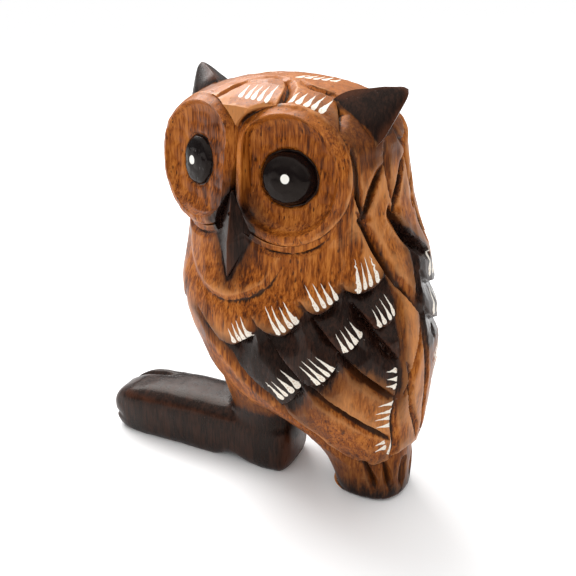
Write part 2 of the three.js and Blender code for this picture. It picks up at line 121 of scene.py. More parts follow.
def on_crown(plan):
    """Points of the crown over places in plan."""
    plan = np.asarray(plan, float)
    low, high = np.full(len(plan), 80.0), np.full(len(plan), HEIGHT)
    for _ in range(24):
        middle = (low + high) / 2
        inside = share(np.column_stack([plan, middle])) < 1
        low, high = np.where(inside, middle, low), np.where(inside, high, middle)
    return np.column_stack([plan, low])


def outward(p):
    """Directions straight out of the surface."""
    p = np.column_stack([p[:, :2], np.minimum(p[:, 2], HEIGHT - 0.9)])
    step = 0.3
    slope = [share(p + step * axis) - share(p - step * axis) for axis in np.eye(3)]
    n = np.stack(slope, 1)
    return n / np.linalg.norm(n, axis=1, keepdims=True)


def coordinates(mesh):
    co = np.empty(len(mesh.vertices) * 3, np.float32)
    mesh.vertices.foreach_get("co", co)
    return co.reshape(-1, 3).astype(float)


def put(mesh, co):
    mesh.vertices.foreach_set("co", np.asarray(co, np.float32).ravel())
    mesh.update()


def turned_blank(name, sides, rings, halvings=0):
    """A closed ball mesh to be shaped, with each vertex's level, 0 at the lowest ring and 1 at the highest,
    its angle, and how far out from the middle of an end it is, 1 from the first ring to the last."""
    bpy.ops.object.select_all(action="DESELECT")
    bpy.ops.mesh.primitive_uv_sphere_add(segments=sides, ring_count=rings, radius=1)
    blank = bpy.context.object
    blank.name = blank.data.name = name
    if halvings:
        finer = blank.modifiers.new("finer", "SUBSURF")
        finer.subdivision_type = "SIMPLE"
        finer.levels = halvings
        bpy.ops.object.modifier_apply(modifier=finer.name)
    co = coordinates(blank.data)
    ring = np.arctan2(np.hypot(co[:, 0], co[:, 1]), -co[:, 2]) / math.pi * rings
    level = np.clip((ring - 1) / (rings - 2), 0, 1)
    return blank, level, np.arctan2(co[:, 1], co[:, 0]), np.clip(np.minimum(ring, rings - ring), 0, 1)


BLOCK_SIDES = 150
BLOCK_RINGS = 104

owl, level, angle, rim = turned_blank("carved_owl_visual", BLOCK_SIDES, BLOCK_RINGS, halvings=2)

# The rings are spread evenly along the block's profile, up the side and over the crown.
quarter = np.linspace(0, math.pi / 2, 900)
crown_z = CROWN_FROM + (HEIGHT - CROWN_FROM) * np.sin(quarter[1:])
profile_z = np.concatenate([np.linspace(0, CROWN_FROM, len(quarter)), crown_z])
profile_r = section(profile_z)[2]
run = np.concatenate([[0], np.cumsum(np.hypot(np.diff(profile_z), np.diff(profile_r)))])
z = np.interp(level * run[-1], run, profile_z)
base = on_side(np.degrees(angle), z)
x_mid, y_mid = section(z)[:2]
middle = np.column_stack([x_mid, y_mid, z])
base = middle + rim[:, None] * (base - middle)
facing = outward(base)
facing[rim < 1] = np.where(z[rim < 1, None] > HEIGHT / 2, (0, 0, 1), (0, 0, -1))


# Knife work
# All the feathers are knife and gouge cuts. A cut follows a route over the surface: the wood stands up almost
# straight on its steep side, and on its other side it slopes or is gouged away. Cuts meet in crisp ridges.
WALL = 0.5
DEEP_ENOUGH = 1.8


def spline(points, steps):
    """A smooth line through points."""
    points = np.asarray(points, float)
    key = np.concatenate([[0], np.cumsum(np.linalg.norm(np.diff(points, axis=0), axis=1))])
    at = np.linspace(0, key[-1], steps)
    if len(points) == 2:
        return np.stack([np.interp(at, key, points[:, k]) for k in range(points.shape[1])], 1)
    return np.stack([between(key, points[:, k], at) for k in range(points.shape[1])], 1)


def carve(line, deep, right, left=WALL, power=1.0, start=0.15, end=0.15, dark=1.0):
    """Notes a cut along a line of surface points. right and left are the widths of its two slopes, seen from
    outside along the line; power 1 is a flat slope and more than 1 a gouge that flattens towards its edge.
    dark is how much it is darkened, by stain that gathers in it and by painted shade."""
    cuts.append((line, deep, right, left, power, start, end, dark))


def cut_away(points, chosen):
    """How deep the cuts go at points, and how dark they are made, by stain lying in them and by painted
    shade.
    """
    depth, cut_stain_and_shade = np.zeros(len(points)), np.zeros(len(points))
    for line, deep, right, left, power, start, end, dark in cuts:
        along = np.gradient(line, axis=0)
        along /= np.linalg.norm(along, axis=1, keepdims=True)
        side = np.cross(along, outward(line))
        reach = max(right, left, 2.2)
        near_by = np.all((points > line.min(0) - reach) & (points < line.max(0) + reach), axis=1)
        close = np.flatnonzero(chosen & near_by)
        p = points[close]
        t = np.linspace(0, 1, len(line))
        best = np.full(len(p), 1e9)
        lateral, station = np.zeros(len(p)), np.zeros(len(p))
        for k in range(len(line) - 1):
            a, d = line[k], line[k + 1] - line[k]
            s = np.clip((p - a) @ d / (d @ d), 0, 1)
            q = p - a - s[:, None] * d
            gap = np.linalg.norm(q, axis=1)
            nearer = gap < best
            best = np.where(nearer, gap, best)
            lateral = np.where(nearer, q @ side[k], lateral)
            station = np.where(nearer, t[k] + s * (t[k + 1] - t[k]), station)
        strength = np.minimum(start + (1 - start) * station * 3, end + (1 - end) * (1 - station) * 3)
        strength = np.clip(strength, 0, 1)
        gentle = lateral > 0 if right > left else lateral <= 0
        width = np.where(lateral > 0, right, left)
        width = np.where(gentle, width * np.minimum(strength * 1.5, 1), width)
        rest = np.clip(1 - best / width, 0, 1)
        depth[close] = np.maximum(depth[close], deep * strength * np.where(gentle, rest ** power, rest))
        spread = np.where(gentle, min(max(right, left), 0.6 + 0.32 * deep), 0.6)
        near = np.clip(1 - best / spread, 0, 1)
        cut_darkness = dark * near * strength ** 0.5 * min(deep / DEEP_ENOUGH, 1)
        cut_stain_and_shade[close] = np.maximum(cut_stain_and_shade[close], np.minimum(cut_darkness, 1))
    return depth, cut_stain_and_shade


cuts = []


def side_line(route, steps=36):
    places = spline(route, steps)
    return on_side(places[:, 0], places[:, 1])


def crown_line(route, steps=24):
    return on_crown(spline(route, steps))


# Near wing: four feathers in the shoulder row and four in the middle row end in rounded lips over gouged
# scoops; long flight feathers run on below them to the rear edge.
SHOULDER_LIPS = [
    [(-30, 46.2), (-24, 46.0), (-18, 47.3), (-5, 51.7)],
    [(-5, 53.2), (2, 51.8), (11, 52.2), (21, 57.0)],
    [(20, 59.4), (26, 58.0), (32, 58.8), (39, 62.3)],
    [(40, 63.6), (46, 62.5), (53, 63.4), (60, 66.0)],
]
MIDDLE_LIPS = [
    [(-4, 31.6), (1, 32.6), (8, 35.2), (14, 40.2)],
    [(18, 39.6), (23, 40.1), (29, 42.4), (36, 47.6)],
    [(35, 49.2), (39, 49.4), (43, 50.6), (48, 53.8)],
    [(51, 54.8), (55, 54.6), (59, 55.2), (64, 57.2)],
]
FEATHER_EDGES = [
    [(-8, 55.6), (-4, 52.2), (4, 46.8), (10, 42.6), (15, 38.9)],
    [(19, 60.6), (24, 57.4), (30, 53.6), (37, 48.2)],
    [(39, 64.6), (44, 60.6), (50, 56.2), (56, 50.8), (62, 45.4)],
]
FLIGHT_EDGES = [
    [(15, 39.4), (26, 35.2), (38, 30.2), (52, 23.2)],
    [(36, 48.6), (43, 44.0), (50, 40.4), (60, 35.8)],
    [(51, 55.2), (55, 50.9), (58, 48.2), (62, 45.0)],
]
NEAR_FRONT = [(-47, 55.5), (-35, 48.2), (-28, 43.6), (-18, 37.2), (-7, 31.8), (-9, 25.5), (-11, 18.5),
              (0, 13.8)]
NEAR_REAR = [(59, 66.2), (63, 60), (63.5, 52), (61.5, 42.5), (59.5, 34), (56, 25), (49, 15.2)]

for lip in SHOULDER_LIPS:
    carve(side_line(lip), deep=2.7, right=5.4, left=0.45, power=1.2, start=0.45, end=0.25)
for lip in MIDDLE_LIPS:
    carve(side_line(lip), deep=2.4, right=4.4, left=0.45, power=1.2, start=0.45, end=0.25)
for edge in FEATHER_EDGES:
    carve(side_line(edge), deep=3.2, right=4.6, left=0.55, power=1.15, start=0.2, end=0.5)
for edge in FLIGHT_EDGES:
    carve(side_line(edge), deep=2.8, right=2.6, left=0.7, power=1.0, start=0.9, end=0.2, dark=1.7)
carve(side_line(NEAR_FRONT, 60), deep=1.9, right=4.0, left=0.45, power=1.4, start=0.1, end=0.7, dark=0.6)
carve(side_line(NEAR_REAR, 60), deep=1.5, right=0.5, left=2.4, power=1.2, start=0.4, end=0.6, dark=0.4)

# Far wing: the same rows, cut round the other side with one more feather.
FAR_FEATHERS = 5
FAR_FRONT = [(15, 186), (22, 202), (30, 226), (38, 254), (46, 282), (54, 304), (66, 316)]
FAR_REAR = [(15, 98), (24, 90), (37, 84), (51, 80), (66, 80)]


def far_place(t, height):
    front = between(*zip(*FAR_FRONT), height)
    rear = between(*zip(*FAR_REAR), height)
    return front + (rear - front) * t, height


def shoulder_row(t):
    return 48 + 17 * t


def middle_row(t):
    return 31.5 + 25.5 * t ** 1.25


def flight_end(t):
    return 15 + 41.5 * t


for row, gouge in ((shoulder_row, 5.0), (middle_row, 4.4)):
    for k in range(FAR_FEATHERS):
        first, last = k / FAR_FEATHERS + 0.01, (k + 1) / FAR_FEATHERS - 0.01
        scallop = ((0, 2.0), (0.25, 4.8), (0.6, 5.2), (0.9, 3.2), (1, 0.8))
        lip = [(first + (last - first) * s, drop) for s, drop in scallop]
        lip = [far_place(t, row(t) - drop) for t, drop in lip]
        carve(side_line(lip), deep=2.0, right=0.45, left=gouge, start=0.35, end=0.2)
for k in range(1, FAR_FEATHERS):
    t = k / FAR_FEATHERS
    swept = 1.14 * t
    top, low, end = shoulder_row(t), middle_row(t), flight_end(t)
    edge = [(t, top + 1), (t + (swept - t) * 0.4, (top + low) / 2), (swept, low - 2)]
    carve(side_line([far_place(*q) for q in edge]), deep=2.9, right=0.55, left=4.6, start=0.1, end=0.4)
    bend = (swept + (1 - swept) * 0.45, low - 2.5 + (end - low + 2.5) * 0.45)
    flight = [(swept, low - 2.5), bend, (0.97, end)]
    carve(side_line([far_place(*q) for q in flight]), deep=2.2, right=0.5, left=2.6, start=0.7, end=0.1)
far_front = [far_place(0, h) for h in np.linspace(57, 16, 9)]
far_rear = [far_place(1, h) for h in np.linspace(66, 15.5, 9)]
carve(side_line(far_front, 60), deep=1.5, right=0.7, left=4.4, start=0.1, end=0.7)
carve(side_line(far_rear, 60), deep=1.3, right=2.2, left=0.7, start=0.3, end=0.5)

# Neck and back: leaf feathers, each a pair of V cuts that meet at its tip, in staggered rows round the head,
# and the single cuts of the strip between the two wings.
NECK_LEAVES = 10
NECK_STEP = 20.5
MANTLE_LEAVES = 8
MANTLE_STEP = 22
STRIP_CUTS = [
    # route, depth, right width, left width, power, strength at its start and end
    ([(52, 79), (56, 72), (61, 66.5), (64.5, 63.6)], 2.5, 0.8, 2.4, 1.0, 0.7, 0.7),
    ([(57.5, 75), (61, 69), (65, 64)], 1.1, 0.7, 1.6, 1.0, 0.1, 0.8),
    ([(63.5, 64), (68, 61.8), (73, 58.6), (79, 54.6)], 2.5, 0.6, 2.8, 1.0, 0.6, 0.6),
    ([(73.5, 78.6), (77, 75), (82, 71.8), (95, 67)], 3.4, 3.4, 0.6, 1.0, 0.7, 0.6),
    ([(75, 77), (78, 68), (77, 60), (79, 54.6)], 1.5, 0.5, 2.4, 1.0, 0.2, 0.5),
    ([(79, 54.6), (74, 48), (65, 36.5)], 1.9, 0.5, 2.4, 1.0, 0.5, 0.4),
    ([(66, 45), (70, 32), (78, 19.5)], 2.0, 0.5, 1.8, 1.0, 0.2, 0.4),
    ([(64, 61), (66, 52), (64, 44)], 0.8, 2.0, 0.6),
]
for k in range(NECK_LEAVES):
    a = 53 + k * NECK_STEP
    one_side = [(a, 94.5), (a - 1, 88), (a, 83), (a + 2, 79)]
    other_side = [(a + 19, 90.5), (a + 11, 85.3), (a + 2, 79)]
    carve(side_line(one_side), deep=2.2, right=0.6, left=2.0, start=0.2, end=0.8)
    carve(side_line(other_side), deep=2.0, right=2.4, left=0.5, start=0.1, end=0.8)
for route, *sizes in STRIP_CUTS:
    carve(side_line(route), *sizes)
for k in range(MANTLE_LEAVES):
    a = 97 + k * MANTLE_STEP
    leaf = [(a, 79.5), (a + 3, 73.5), (a + 8.5, 69), (a + 14, 73.5), (a + 18, 79.5)]
    carve(side_line(leaf), deep=2.1, right=2.8, left=0.45, start=0.2, end=0.2)
for row_from, step, leaves, height in ((84, 24, 7, 98), (100, 34, 4, 102.6)):
    for k in range(leaves):
        a = row_from + k * step
        leaf = [(a, height), (a + step * 0.4, height - 4.6), (a + step * 0.8, height)]
        carve(side_line(leaf), deep=1.2, right=2.0, left=0.6)

# Breast: a shallow bib is hollowed under the beak, and the breast stands over its lower edge in a soft ridge.
BIB = [(27, 77), (14, 70.6), (7, 66), (-1, 61.9), (-13, 58.9), (-27, 57.6), (-40, 59), (-52, 63), (-62, 69)]
carve(side_line(BIB, 80), deep=1.3, right=1.6, left=8.5, start=0.1, end=0.1, dark=0.12)

# Head: it is turned to the owl's left, so places on it are across it to its left, out of the face, and up.
# A lip is cut in it just under each face disc.
FACING = math.radians(HEAD_TURN)
FORWARD = np.array([math.sin(FACING), -math.cos(FACING), 0])
SIDEWAYS = np.array([math.cos(FACING), math.sin(FACING), 0])
UP = np.array([0.0, 0.0, 1.0])
HEAD_MIDDLE = np.array([0, -0.5, 0])
FACE_OUT = 17.5
EYE_HEIGHT = 88.0
EYE_APART = 24.6
DISC_SPLAY = 11.0
LIP_RADIUS = 17.2


def in_head(across, out, up):
    return HEAD_MIDDLE + across * SIDEWAYS + out * FORWARD + up * UP


for side, right, left in ((1, 1.3, 0.5), (-1, 0.5, 1.3)):
    turn = FACING + math.radians(side * DISC_SPLAY)
    lip = []
    for a in np.radians(np.linspace(-125, -28, 14)):
        point = in_head(side * EYE_APART / 2, FACE_OUT, EYE_HEIGHT + LIP_RADIUS * math.sin(a))
        point += side * LIP_RADIUS * math.cos(a) * np.array([math.cos(turn), math.sin(turn), 0])
        x_in, y_in = section(point[2])[:2]
        lip.append((math.degrees(math.atan2(point[1] - y_in, point[0] - x_in)), point[2]))
    carve(side_line(lip, 40), deep=0.9, right=right, left=left, dark=0.6)

# Crown: flat feathers lifted off the brow by a few cuts, made in plan on the top of the head.
CROWN_CUTS = [
    # route in plan, depth, right width, left width, power, strength at its start and end
    ([(5.0, 2.0), (8.0, 3.6), (12.0, 4.7), (16.6, 5.4)], 1.9, 0.7, 2.0, 1.0, 0.8, 0.4),
    ([(20.6, -1.5), (18.6, 0.2), (17.4, 2.6), (16.8, 5.4)], 1.0, 0.6, 1.6),
    ([(2.5, 4.6), (4.6, 7.6), (5.4, 11.5), (5.0, 16.0)], 1.1, 2.0, 0.6),
    ([(4.6, 13.8), (8.0, 15.8), (12.0, 17.8), (16.5, 19.6)], 1.5, 0.7, 2.0),
    ([(16.8, 5.4), (16.4, 9.0), (15.2, 12.5), (14.6, 16.0)], 0.6, 0.5, 1.2),
    ([(14.0, -11.5), (11.0, -10.5), (7.0, -8.5), (4.0, -7.8)], 1.2, 1.8, 0.6),
    ([(4.0, -7.8), (3.2, -3.5), (3.4, 0.0), (5.0, 2.0)], 0.9, 0.6, 1.8),
    ([(-4.0, -3.0), (-7.0, -8.5), (-5.0, -14.0)], 1.1, 0.6, 2.0),
    ([(-12.0, 3.0), (-14.0, 8.0), (-13.0, 14.0)], 1.1, 2.0, 0.6),
    ([(-12.0, -3.0), (-14.0, -9.0), (-10.0, -15.0)], 1.1, 0.6, 2.0),
]
for route, *sizes in CROWN_CUTS:
    carve(crown_line(route), *sizes)

# Wing tips over the tail, and three broad grooves between the tail's own feathers, repeated round the back.
WING_TIPS = [(-20, 18.5), (-4, 14.6), (14, 12.4), (30, 11.8), (44, 13.2), (56, 15.6), (72, 17), (96, 14.5),
             (125, 13), (155, 15), (178, 19)]
carve(side_line(WING_TIPS, 80), deep=1.3, right=4.5, left=0.7, power=1.2)
for a, lean in ((18, 7), (44, 2), (70, -2), (100, -2), (130, -3), (160, -5)):
    groove = side_line([(a, 12.6), (a + lean * 0.5, 8), (a + lean, 3.2)])
    carve(groove, deep=1.9, right=1.5, left=1.5, start=0.8, end=0.05)


def waviness(p, size, seed):
    """Slow hand-made unevenness: value noise on a lattice of the given size, from -1 to 1."""
    rng = np.random.default_rng(seed)
    lattice = rng.uniform(-1, 1, (64, 64, 64))
    q = p / size + 17.3
    i = np.floor(q).astype(int)
    f = q - i
    f = f * f * (3 - 2 * f)
    total = np.zeros(len(p))
    for corner in np.ndindex(2, 2, 2):
        c = np.array(corner)
        weight = np.prod(np.where(c, f, 1 - f), axis=1)
        total += weight * lattice[tuple(((i + c) % 64).T)]
    return total


def scallops(p, size, seed):
    """Shallow dents of a flat gouge, 0 in the dents and about 1 on the low ridges between them."""
    rng = np.random.default_rng(seed)
    shift = rng.uniform(0.15, 0.85, (48, 48, 48, 3))
    q = p / size + 11.7
    cell = np.floor(q).astype(int)
    nearest = np.full(len(p), 9.0)
    for step in np.ndindex(3, 3, 3):
        c = cell + np.array(step) - 1
        seat = c + shift[tuple((c % 48).T)]
        nearest = np.minimum(nearest, ((q - seat) ** 2).sum(1))
    return nearest


# The edge under the tail is rounded in towards a place well in front of it, so most at the back.
BOTTOM_ROUND = 1.6
ROUNDED_TO = (-2.208, 1.4135)
hand = 0.14 * waviness(base, 7.0, 3) - 0.34 * scallops(base * (1.0, 1.0, 0.55), 3.4, 5) + 0.12
depth, _ = cut_away(base, rim == 1)
shaped = base - facing * (depth + np.where(rim == 1, hand + 0.12, 0))[:, None]
foot = np.clip((BOTTOM_ROUND - z) / BOTTOM_ROUND, 0, 1)
inset = 1 - 0.1 * (1 - np.sqrt(1 - foot ** 2))
shaped[:, :2] = ROUNDED_TO + (shaped[:, :2] - ROUNDED_TO) * inset[:, None]
shaped[level == 0, 2] = 0
shaped[:, 2] = np.maximum(shaped[:, 2], 0)
put(owl.data, shaped)


# The brow
# Between the two discs the forehead, of the same wood, is cut back by one flat knife face to the height of
# their rims. The face leans back a little towards the crown.
def pick(piece):
    """Selects one piece alone and makes it the one that is worked on."""
    bpy.ops.object.select_all(action="DESELECT")
    bpy.context.view_layer.objects.active = piece
    piece.select_set(True)


def work(target, tool, operation):
    """Joins a tool shape to the carving, or cuts it away, and throws the tool shape away."""
    pick(target)
    step = target.modifiers.new(operation, "BOOLEAN")
    step.operation = operation
    step.solver = "MANIFOLD"
    step.object = tool
    bpy.ops.object.modifier_apply(modifier=step.name)
    bpy.data.objects.remove(tool)


def hull(name, points, bevel=0.0, cuts=0):
    """A solid with flat faces over points: it is drawn as loose vertices and skinned."""
    mesh = bpy.data.meshes.new(name)
    mesh.from_pydata([tuple(p) for p in points], [], [])
    solid = bpy.data.objects.new(name, mesh)
    bpy.context.scene.collection.objects.link(solid)
    pick(solid)
    bpy.ops.object.mode_set(mode="EDIT")
    bpy.ops.mesh.select_all(action="SELECT")
    bpy.ops.mesh.convex_hull()
    if bevel:
        bpy.ops.mesh.select_all(action="SELECT")
        bpy.ops.mesh.bevel(offset=bevel, segments=2, profile=0.6)
    bpy.ops.mesh.select_all(action="SELECT")
    bpy.ops.mesh.quads_convert_to_tris()
    if cuts:
        bpy.ops.mesh.subdivide(number_cuts=cuts)
    bpy.ops.mesh.normals_make_consistent(inside=False)
    bpy.ops.object.mode_set(mode="OBJECT")
    return solid


brow = [
    in_head(across, out - lean, up)
    for out in (20, 40) for across in (-9, 9) for lean, up in ((0, 80), (2.6, 104))
]
work(owl, hull("brow", brow), "DIFFERENCE")


# Face discs
# Each is a D with its straight side at the nose, gouged out like a dish inside a raised rim. The eye is left
# standing in the middle as a low dome inside a cut ring.
DISC_RADIUS = 15.2
DISC_TILT = 7.0
NOSE_SIDE = 11.6
DISC_SIDES = 192
DISC_RINGS = 98
DISHES = {
    # side: share of the depth, middle of the eye across and up, half width and half height of the eye
    1: (1.0, 0.05, -0.77, 6.8, 6.15),
    -1: (0.5, -2.0, -0.65, 5.4, 6.0),
}
DISC_PROFILE = np.array([
    # distance along the profile, share of the eye's outline, rim's change of radius, size of the eye, height
    (0.00, 0, -0.6, 1.4, -13.0),
    (0.12, 0, -0.1, 1.4, -3.4),
    (0.19, 0, 0.15, 1.4, -0.8),
    (0.22, 0, -0.2, 1.4, -0.45),
    (0.25, 0, -0.7, 1.4, -0.15),
    (0.325, 0, -1.85, 1.4, 0.28),
    (0.345, 0, -2.1, 1.4, 0.15),
    (0.39, 0, -2.6, 1.4, -1.6),
    (0.42, 0, -3.0, 1.4, -2.25),
    (0.48, 0.30, -3.2, 1.40, -2.9),
    (0.54, 0.75, -3.0, 1.30, -3.2),
    (0.59, 1, -3.0, 1.14, -3.3),
    (0.62, 1, -3.0, 1.08, -3.5),
    (0.66, 1, -3.0, 1.02, -4.1),
    (0.69, 1, -3.0, 0.97, -3.9),
    (0.73, 1, -3.0, 0.93, -2.6),
    (0.79, 1, -3.0, 0.81, -1.6),
    (0.88, 1, -3.0, 0.50, -1.0),
    (1.00, 1, -3.0, 0.0, -0.8),
])


def disc_axes(side):
    turn = math.radians(HEAD_TURN + side * DISC_SPLAY)
    across = np.array([math.cos(turn), math.sin(turn), 0])
    tilt = math.radians(DISC_TILT)
    out = np.array([math.sin(turn) * math.cos(tilt), -math.cos(turn) * math.cos(tilt), math.sin(tilt)])
    return in_head(side * EYE_APART / 2, FACE_OUT, EYE_HEIGHT), across, np.cross(out, across), out


def disc_point(side, a, b, c):
    middle, across, up, out = disc_axes(side)
    a, b, c = np.broadcast_arrays(a, b, c)
    return middle + a[..., None] * across + b[..., None] * up + c[..., None] * out


for side in (-1, 1):
    clear, level_c, angle_c, rim_c = turned_blank("clear", 96, 8)
    r = (DISC_RADIUS + np.interp(level_c, (0, 0.2, 0.4, 1), (-2.4, -1.6, 0.7, 5.5))) * rim_c
    reach = np.interp(level_c, (0, 0.2, 0.4, 1), (-4.6, -1.9, -1.6, 18))
    put(clear.data, disc_point(side, r * np.cos(angle_c), r * np.sin(angle_c), reach))
    work(owl, clear, "DIFFERENCE")

for side in (-1, 1):
    dish, along, angle_d, rim_d = turned_blank("dish", DISC_SIDES, DISC_RINGS)
    depth_share, eye_across, eye_up, eye_wide, eye_tall = DISHES[side]
    of_eye, change, size, height = (np.interp(along, DISC_PROFILE[:, 0], row) for row in DISC_PROFILE.T[1:])
    height = np.where(height < 0, height * np.where(along > 0.34, depth_share, 1), height)
    radius = DISC_RADIUS + change
    blunt = (NOSE_SIDE + change * 0.8) / np.maximum(-side * np.cos(angle_d), 1e-3)
    r = (radius ** -14.0 + blunt ** -14.0) ** (-1 / 14.0)
    lean, low, high = (0.8, -0.3, 0.5) if side > 0 else (0.3, 0.1, 0.8)
    bevelled = smooth(np.sin(angle_d) + lean * np.cos(angle_d), low, high)
    height = height - bevelled * np.interp(along, (0.12, 0.19, 0.25, 0.325, 0.345), (0.0, 1.7, 1.3, 0.0, 0.0))
    jag = 1 + 0.010 * np.sin(3 * angle_d + 1) + 0.008 * np.sin(11 * angle_d)
    a = (1 - of_eye) * r * np.cos(angle_d) + of_eye * (eye_across + size * jag * eye_wide * np.cos(angle_d))
    b = (1 - of_eye) * r * np.sin(angle_d) + of_eye * (eye_up + size * jag * eye_tall * np.sin(angle_d))
    place = disc_point(side, a * rim_d, b * rim_d, height)
    place[along == 1] = disc_point(side, eye_across, eye_up, height[along == 1])
    uneven = 0.10 * waviness(place, 4.0, 7) - 0.5 * scallops(place, 2.8, 6) + 0.15
    uneven = uneven * np.where((rim_d == 1) & (along > 0.2), 1, 0) * np.where(along > 0.7, 0.4, 1)
    place = place + uneven[:, None] * disc_axes(side)[3]
    put(dish.data, place)
    work(owl, dish, "UNION")


# Beak
# A kite of the same wood with a ridge down its middle. It is left standing when the wood on its two sides is
# cut away in two dark hollows.
for side in (-1, 1):
    work(owl, hull("hollow", [
        in_head(side * 0.2, 25, 86.5),
        in_head(side * 0.6, 16.6, 82),
        in_head(-side * 0.5, 25, 74),
        in_head(-side * 0.5, 17, 75),
        in_head(side * 4.4, 16.8, 74.5),
        in_head(side * 7.0, 25, 74.5),
        in_head(side * 4.6, 25, 70.5),
    ]), "DIFFERENCE")
work(owl, hull("beak", [
    in_head(0, 20.0, 83.5),
    in_head(0, 22.2, 71),
    in_head(0, 22.6, 63),
    in_head(4.8, 18.9, 73.4),
    in_head(-5.7, 18.6, 73.4),
    in_head(3.8, 14, 73.4),
    in_head(-3.8, 14, 73.4),
    in_head(0, 12, 82),
    in_head(0, 12, 66),
], bevel=0.25, cuts=3), "UNION")


# Ear tufts
# A fat curved cone on each upper side of the head, of the same block, cut with three long facets and stained
# dark.
TUFT_BASE = (20.9, 0.9, 97.6)
TUFT_TIP = (30.6, -3.9, 106.0)
TUFT_ALONG = (-7, 0, 3.2, 6.4, 9.6, 12.2, 12.9)
TUFT_RADIUS = (6.6, 6.9, 6.2, 4.6, 2.9, 1.2, 0)


def close_ends(piece, gap):
    """Merges a shape's doubled points and turns its faces outwards."""
    pick(piece)
    bpy.ops.object.mode_set(mode="EDIT")
    bpy.ops.mesh.select_all(action="SELECT")
    bpy.ops.mesh.remove_doubles(threshold=gap)
    bpy.ops.mesh.normals_make_consistent(inside=False)
    bpy.ops.object.mode_set(mode="OBJECT")


for side in (-1, 1):
    tuft, level_t, angle_t, rim_t = turned_blank("tuft", 72, 42)
    root = in_head(side * TUFT_BASE[0], *TUFT_BASE[1:])
    axis = in_head(side * TUFT_TIP[0], *TUFT_TIP[1:]) - root
    axis /= np.linalg.norm(axis)
    fore = FORWARD - (FORWARD @ axis) * axis
    fore /= np.linalg.norm(fore)
    upper = np.cross(fore, axis) * side
    along = np.interp(level_t, (0, 1), (TUFT_ALONG[0], TUFT_ALONG[-1]))
    radius = between(TUFT_ALONG, TUFT_RADIUS, along)
    corner = np.arctan2(np.sin(angle_t), side * np.cos(angle_t)) - math.radians(60)
    flat = np.cos(np.mod(corner, 2 * math.pi / 3) - math.pi / 3)
    radius = np.maximum(radius, 0) * 1.17 * (0.5 / np.maximum(flat, 0.5)) ** 0.5
    radius = radius * rim_t * (level_t < 1)
    place = root + along[:, None] * axis
    place = place + (radius * np.cos(angle_t) * side)[:, None] * fore
    place = place + (radius * np.sin(angle_t))[:, None] * upper
    place = place + (0.12 * waviness(place, 4, 9) * rim_t)[:, None] * upper
    put(tuft.data, place)
    close_ends(tuft, 0.01)
    work(owl, tuft, "UNION")


# Feet
# Both feet and their toes are one long rounded block of the same wood under the middle of the body, with toe
# cuts at its front. The leg above it was left as thick as the body needs.
FEET_ACROSS = 0.8
FEET = np.array([
    # distance back, half width, bottom, top
    (-54.6, 4.4, 3.6, 9.0),
    (-53.6, 6.4, 1.4, 10.8),
    (-51.0, 7.9, -0.8, 12.8),
    (-46.5, 8.7, -1.6, 14.8),
    (-36.0, 9.0, -1.6, 16.2),
    (-20.0, 9.0, -1.4, 16.8),
    (-14.0, 9.0, 0.4, 16.8),
    (-7.0, 9.2, -1.6, 16.8),
    (0.6, 9.0, -1.6, 16.8),
    (2.8, 7.6, 0.2, 15.8),
    (3.8, 5.4, 2.0, 13.8),
])


def rounded(value, power):
    return np.sign(value) * np.abs(value) ** (2 / power)


feet, level_f, angle_f, rim_f = turned_blank("feet", 144, 146)
back = np.interp(level_f, (0, 1), (FEET[0, 0], FEET[-1, 0]))
half, low, high = (between(FEET[:, 0], FEET[:, k], back) for k in (1, 2, 3))
tall = (high - low) / 2
across = FEET_ACROSS + rim_f * half * rounded(np.cos(angle_f), 3.6)
place = np.stack([across, back, low + tall + rim_f * tall * rounded(np.sin(angle_f), 3.6)], 1)
groove_run = smooth(place[:, 1], -34, -44)
groove = np.exp(-((place[:, 0] + 2.8) / 1.1) ** 2) * groove_run * 1.7 * rim_f
up_face = smooth(np.sin(angle_f), 0.2, 0.6)
place[:, 2] -= groove * up_face
place[:, 1] += groove * smooth(place[:, 1], -51, -54) * 0.9
nick = np.exp(-((place[:, 2] - 4.4) / 0.7) ** 2)
place[:, 1] += 1.1 * nick * smooth(place[:, 1], -48, -53) * smooth(place[:, 0], -3, 1)
uneven = 0.35 * waviness(place, 9, 11) + 0.12 * waviness(place, 3, 12)
middle = np.stack([np.full(len(place), FEET_ACROSS), back, low + tall], 1)
outwards = place - middle
outwards /= np.maximum(np.linalg.norm(outwards, axis=1, keepdims=True), 1e-6)
place = place - outwards * (np.abs(uneven) * rim_f)[:, None]
place[:, 2] = np.maximum(place[:, 2], 0)
put(feet.data, place)

LEG = np.array([
    # height, middle back, half depth, half width
    (9, -5.2, 9.2, 8.3),
    (17, -5.2, 9.4, 8.8),
    (23, -4.6, 11.4, 10.6),
    (30, -2.5, 14.6, 13.4),
    (36, -0.5, 15.6, 14.2),
])
leg, level_l, angle_l, rim_l = turned_blank("leg", 96, 56)
rise = np.interp(level_l, (0, 1), (LEG[0, 0], LEG[-1, 0]))
y_leg, deep_leg, wide_leg = (between(LEG[:, 0], LEG[:, k], rise) for k in (1, 2, 3))
put(leg.data, np.stack([
    FEET_ACROSS + rim_l * wide_leg * rounded(np.cos(angle_l), 2.6),
    y_leg + rim_l * deep_leg * rounded(np.sin(angle_l), 2.6),
    rise,
], 1))
for piece in (leg, feet):
    close_ends(piece, 0.005)
    work(owl, piece, "UNION")


# Sanding
# The finished carving is rubbed down a little, which takes the flat faces' joins away and keeps the ridges.
# The corner where the leg meets the feet is rubbed round.
FACES = 190000
pick(owl)
owl.data.calc_loop_triangles()
triangles = len(owl.data.loop_triangles)
if triangles > FACES:
    rub = owl.modifiers.new("rub", "DECIMATE")
    rub.ratio = FACES / triangles
    bpy.ops.object.modifier_apply(modifier=rub.name)
bpy.ops.object.shade_smooth_by_angle(angle=math.radians(42))

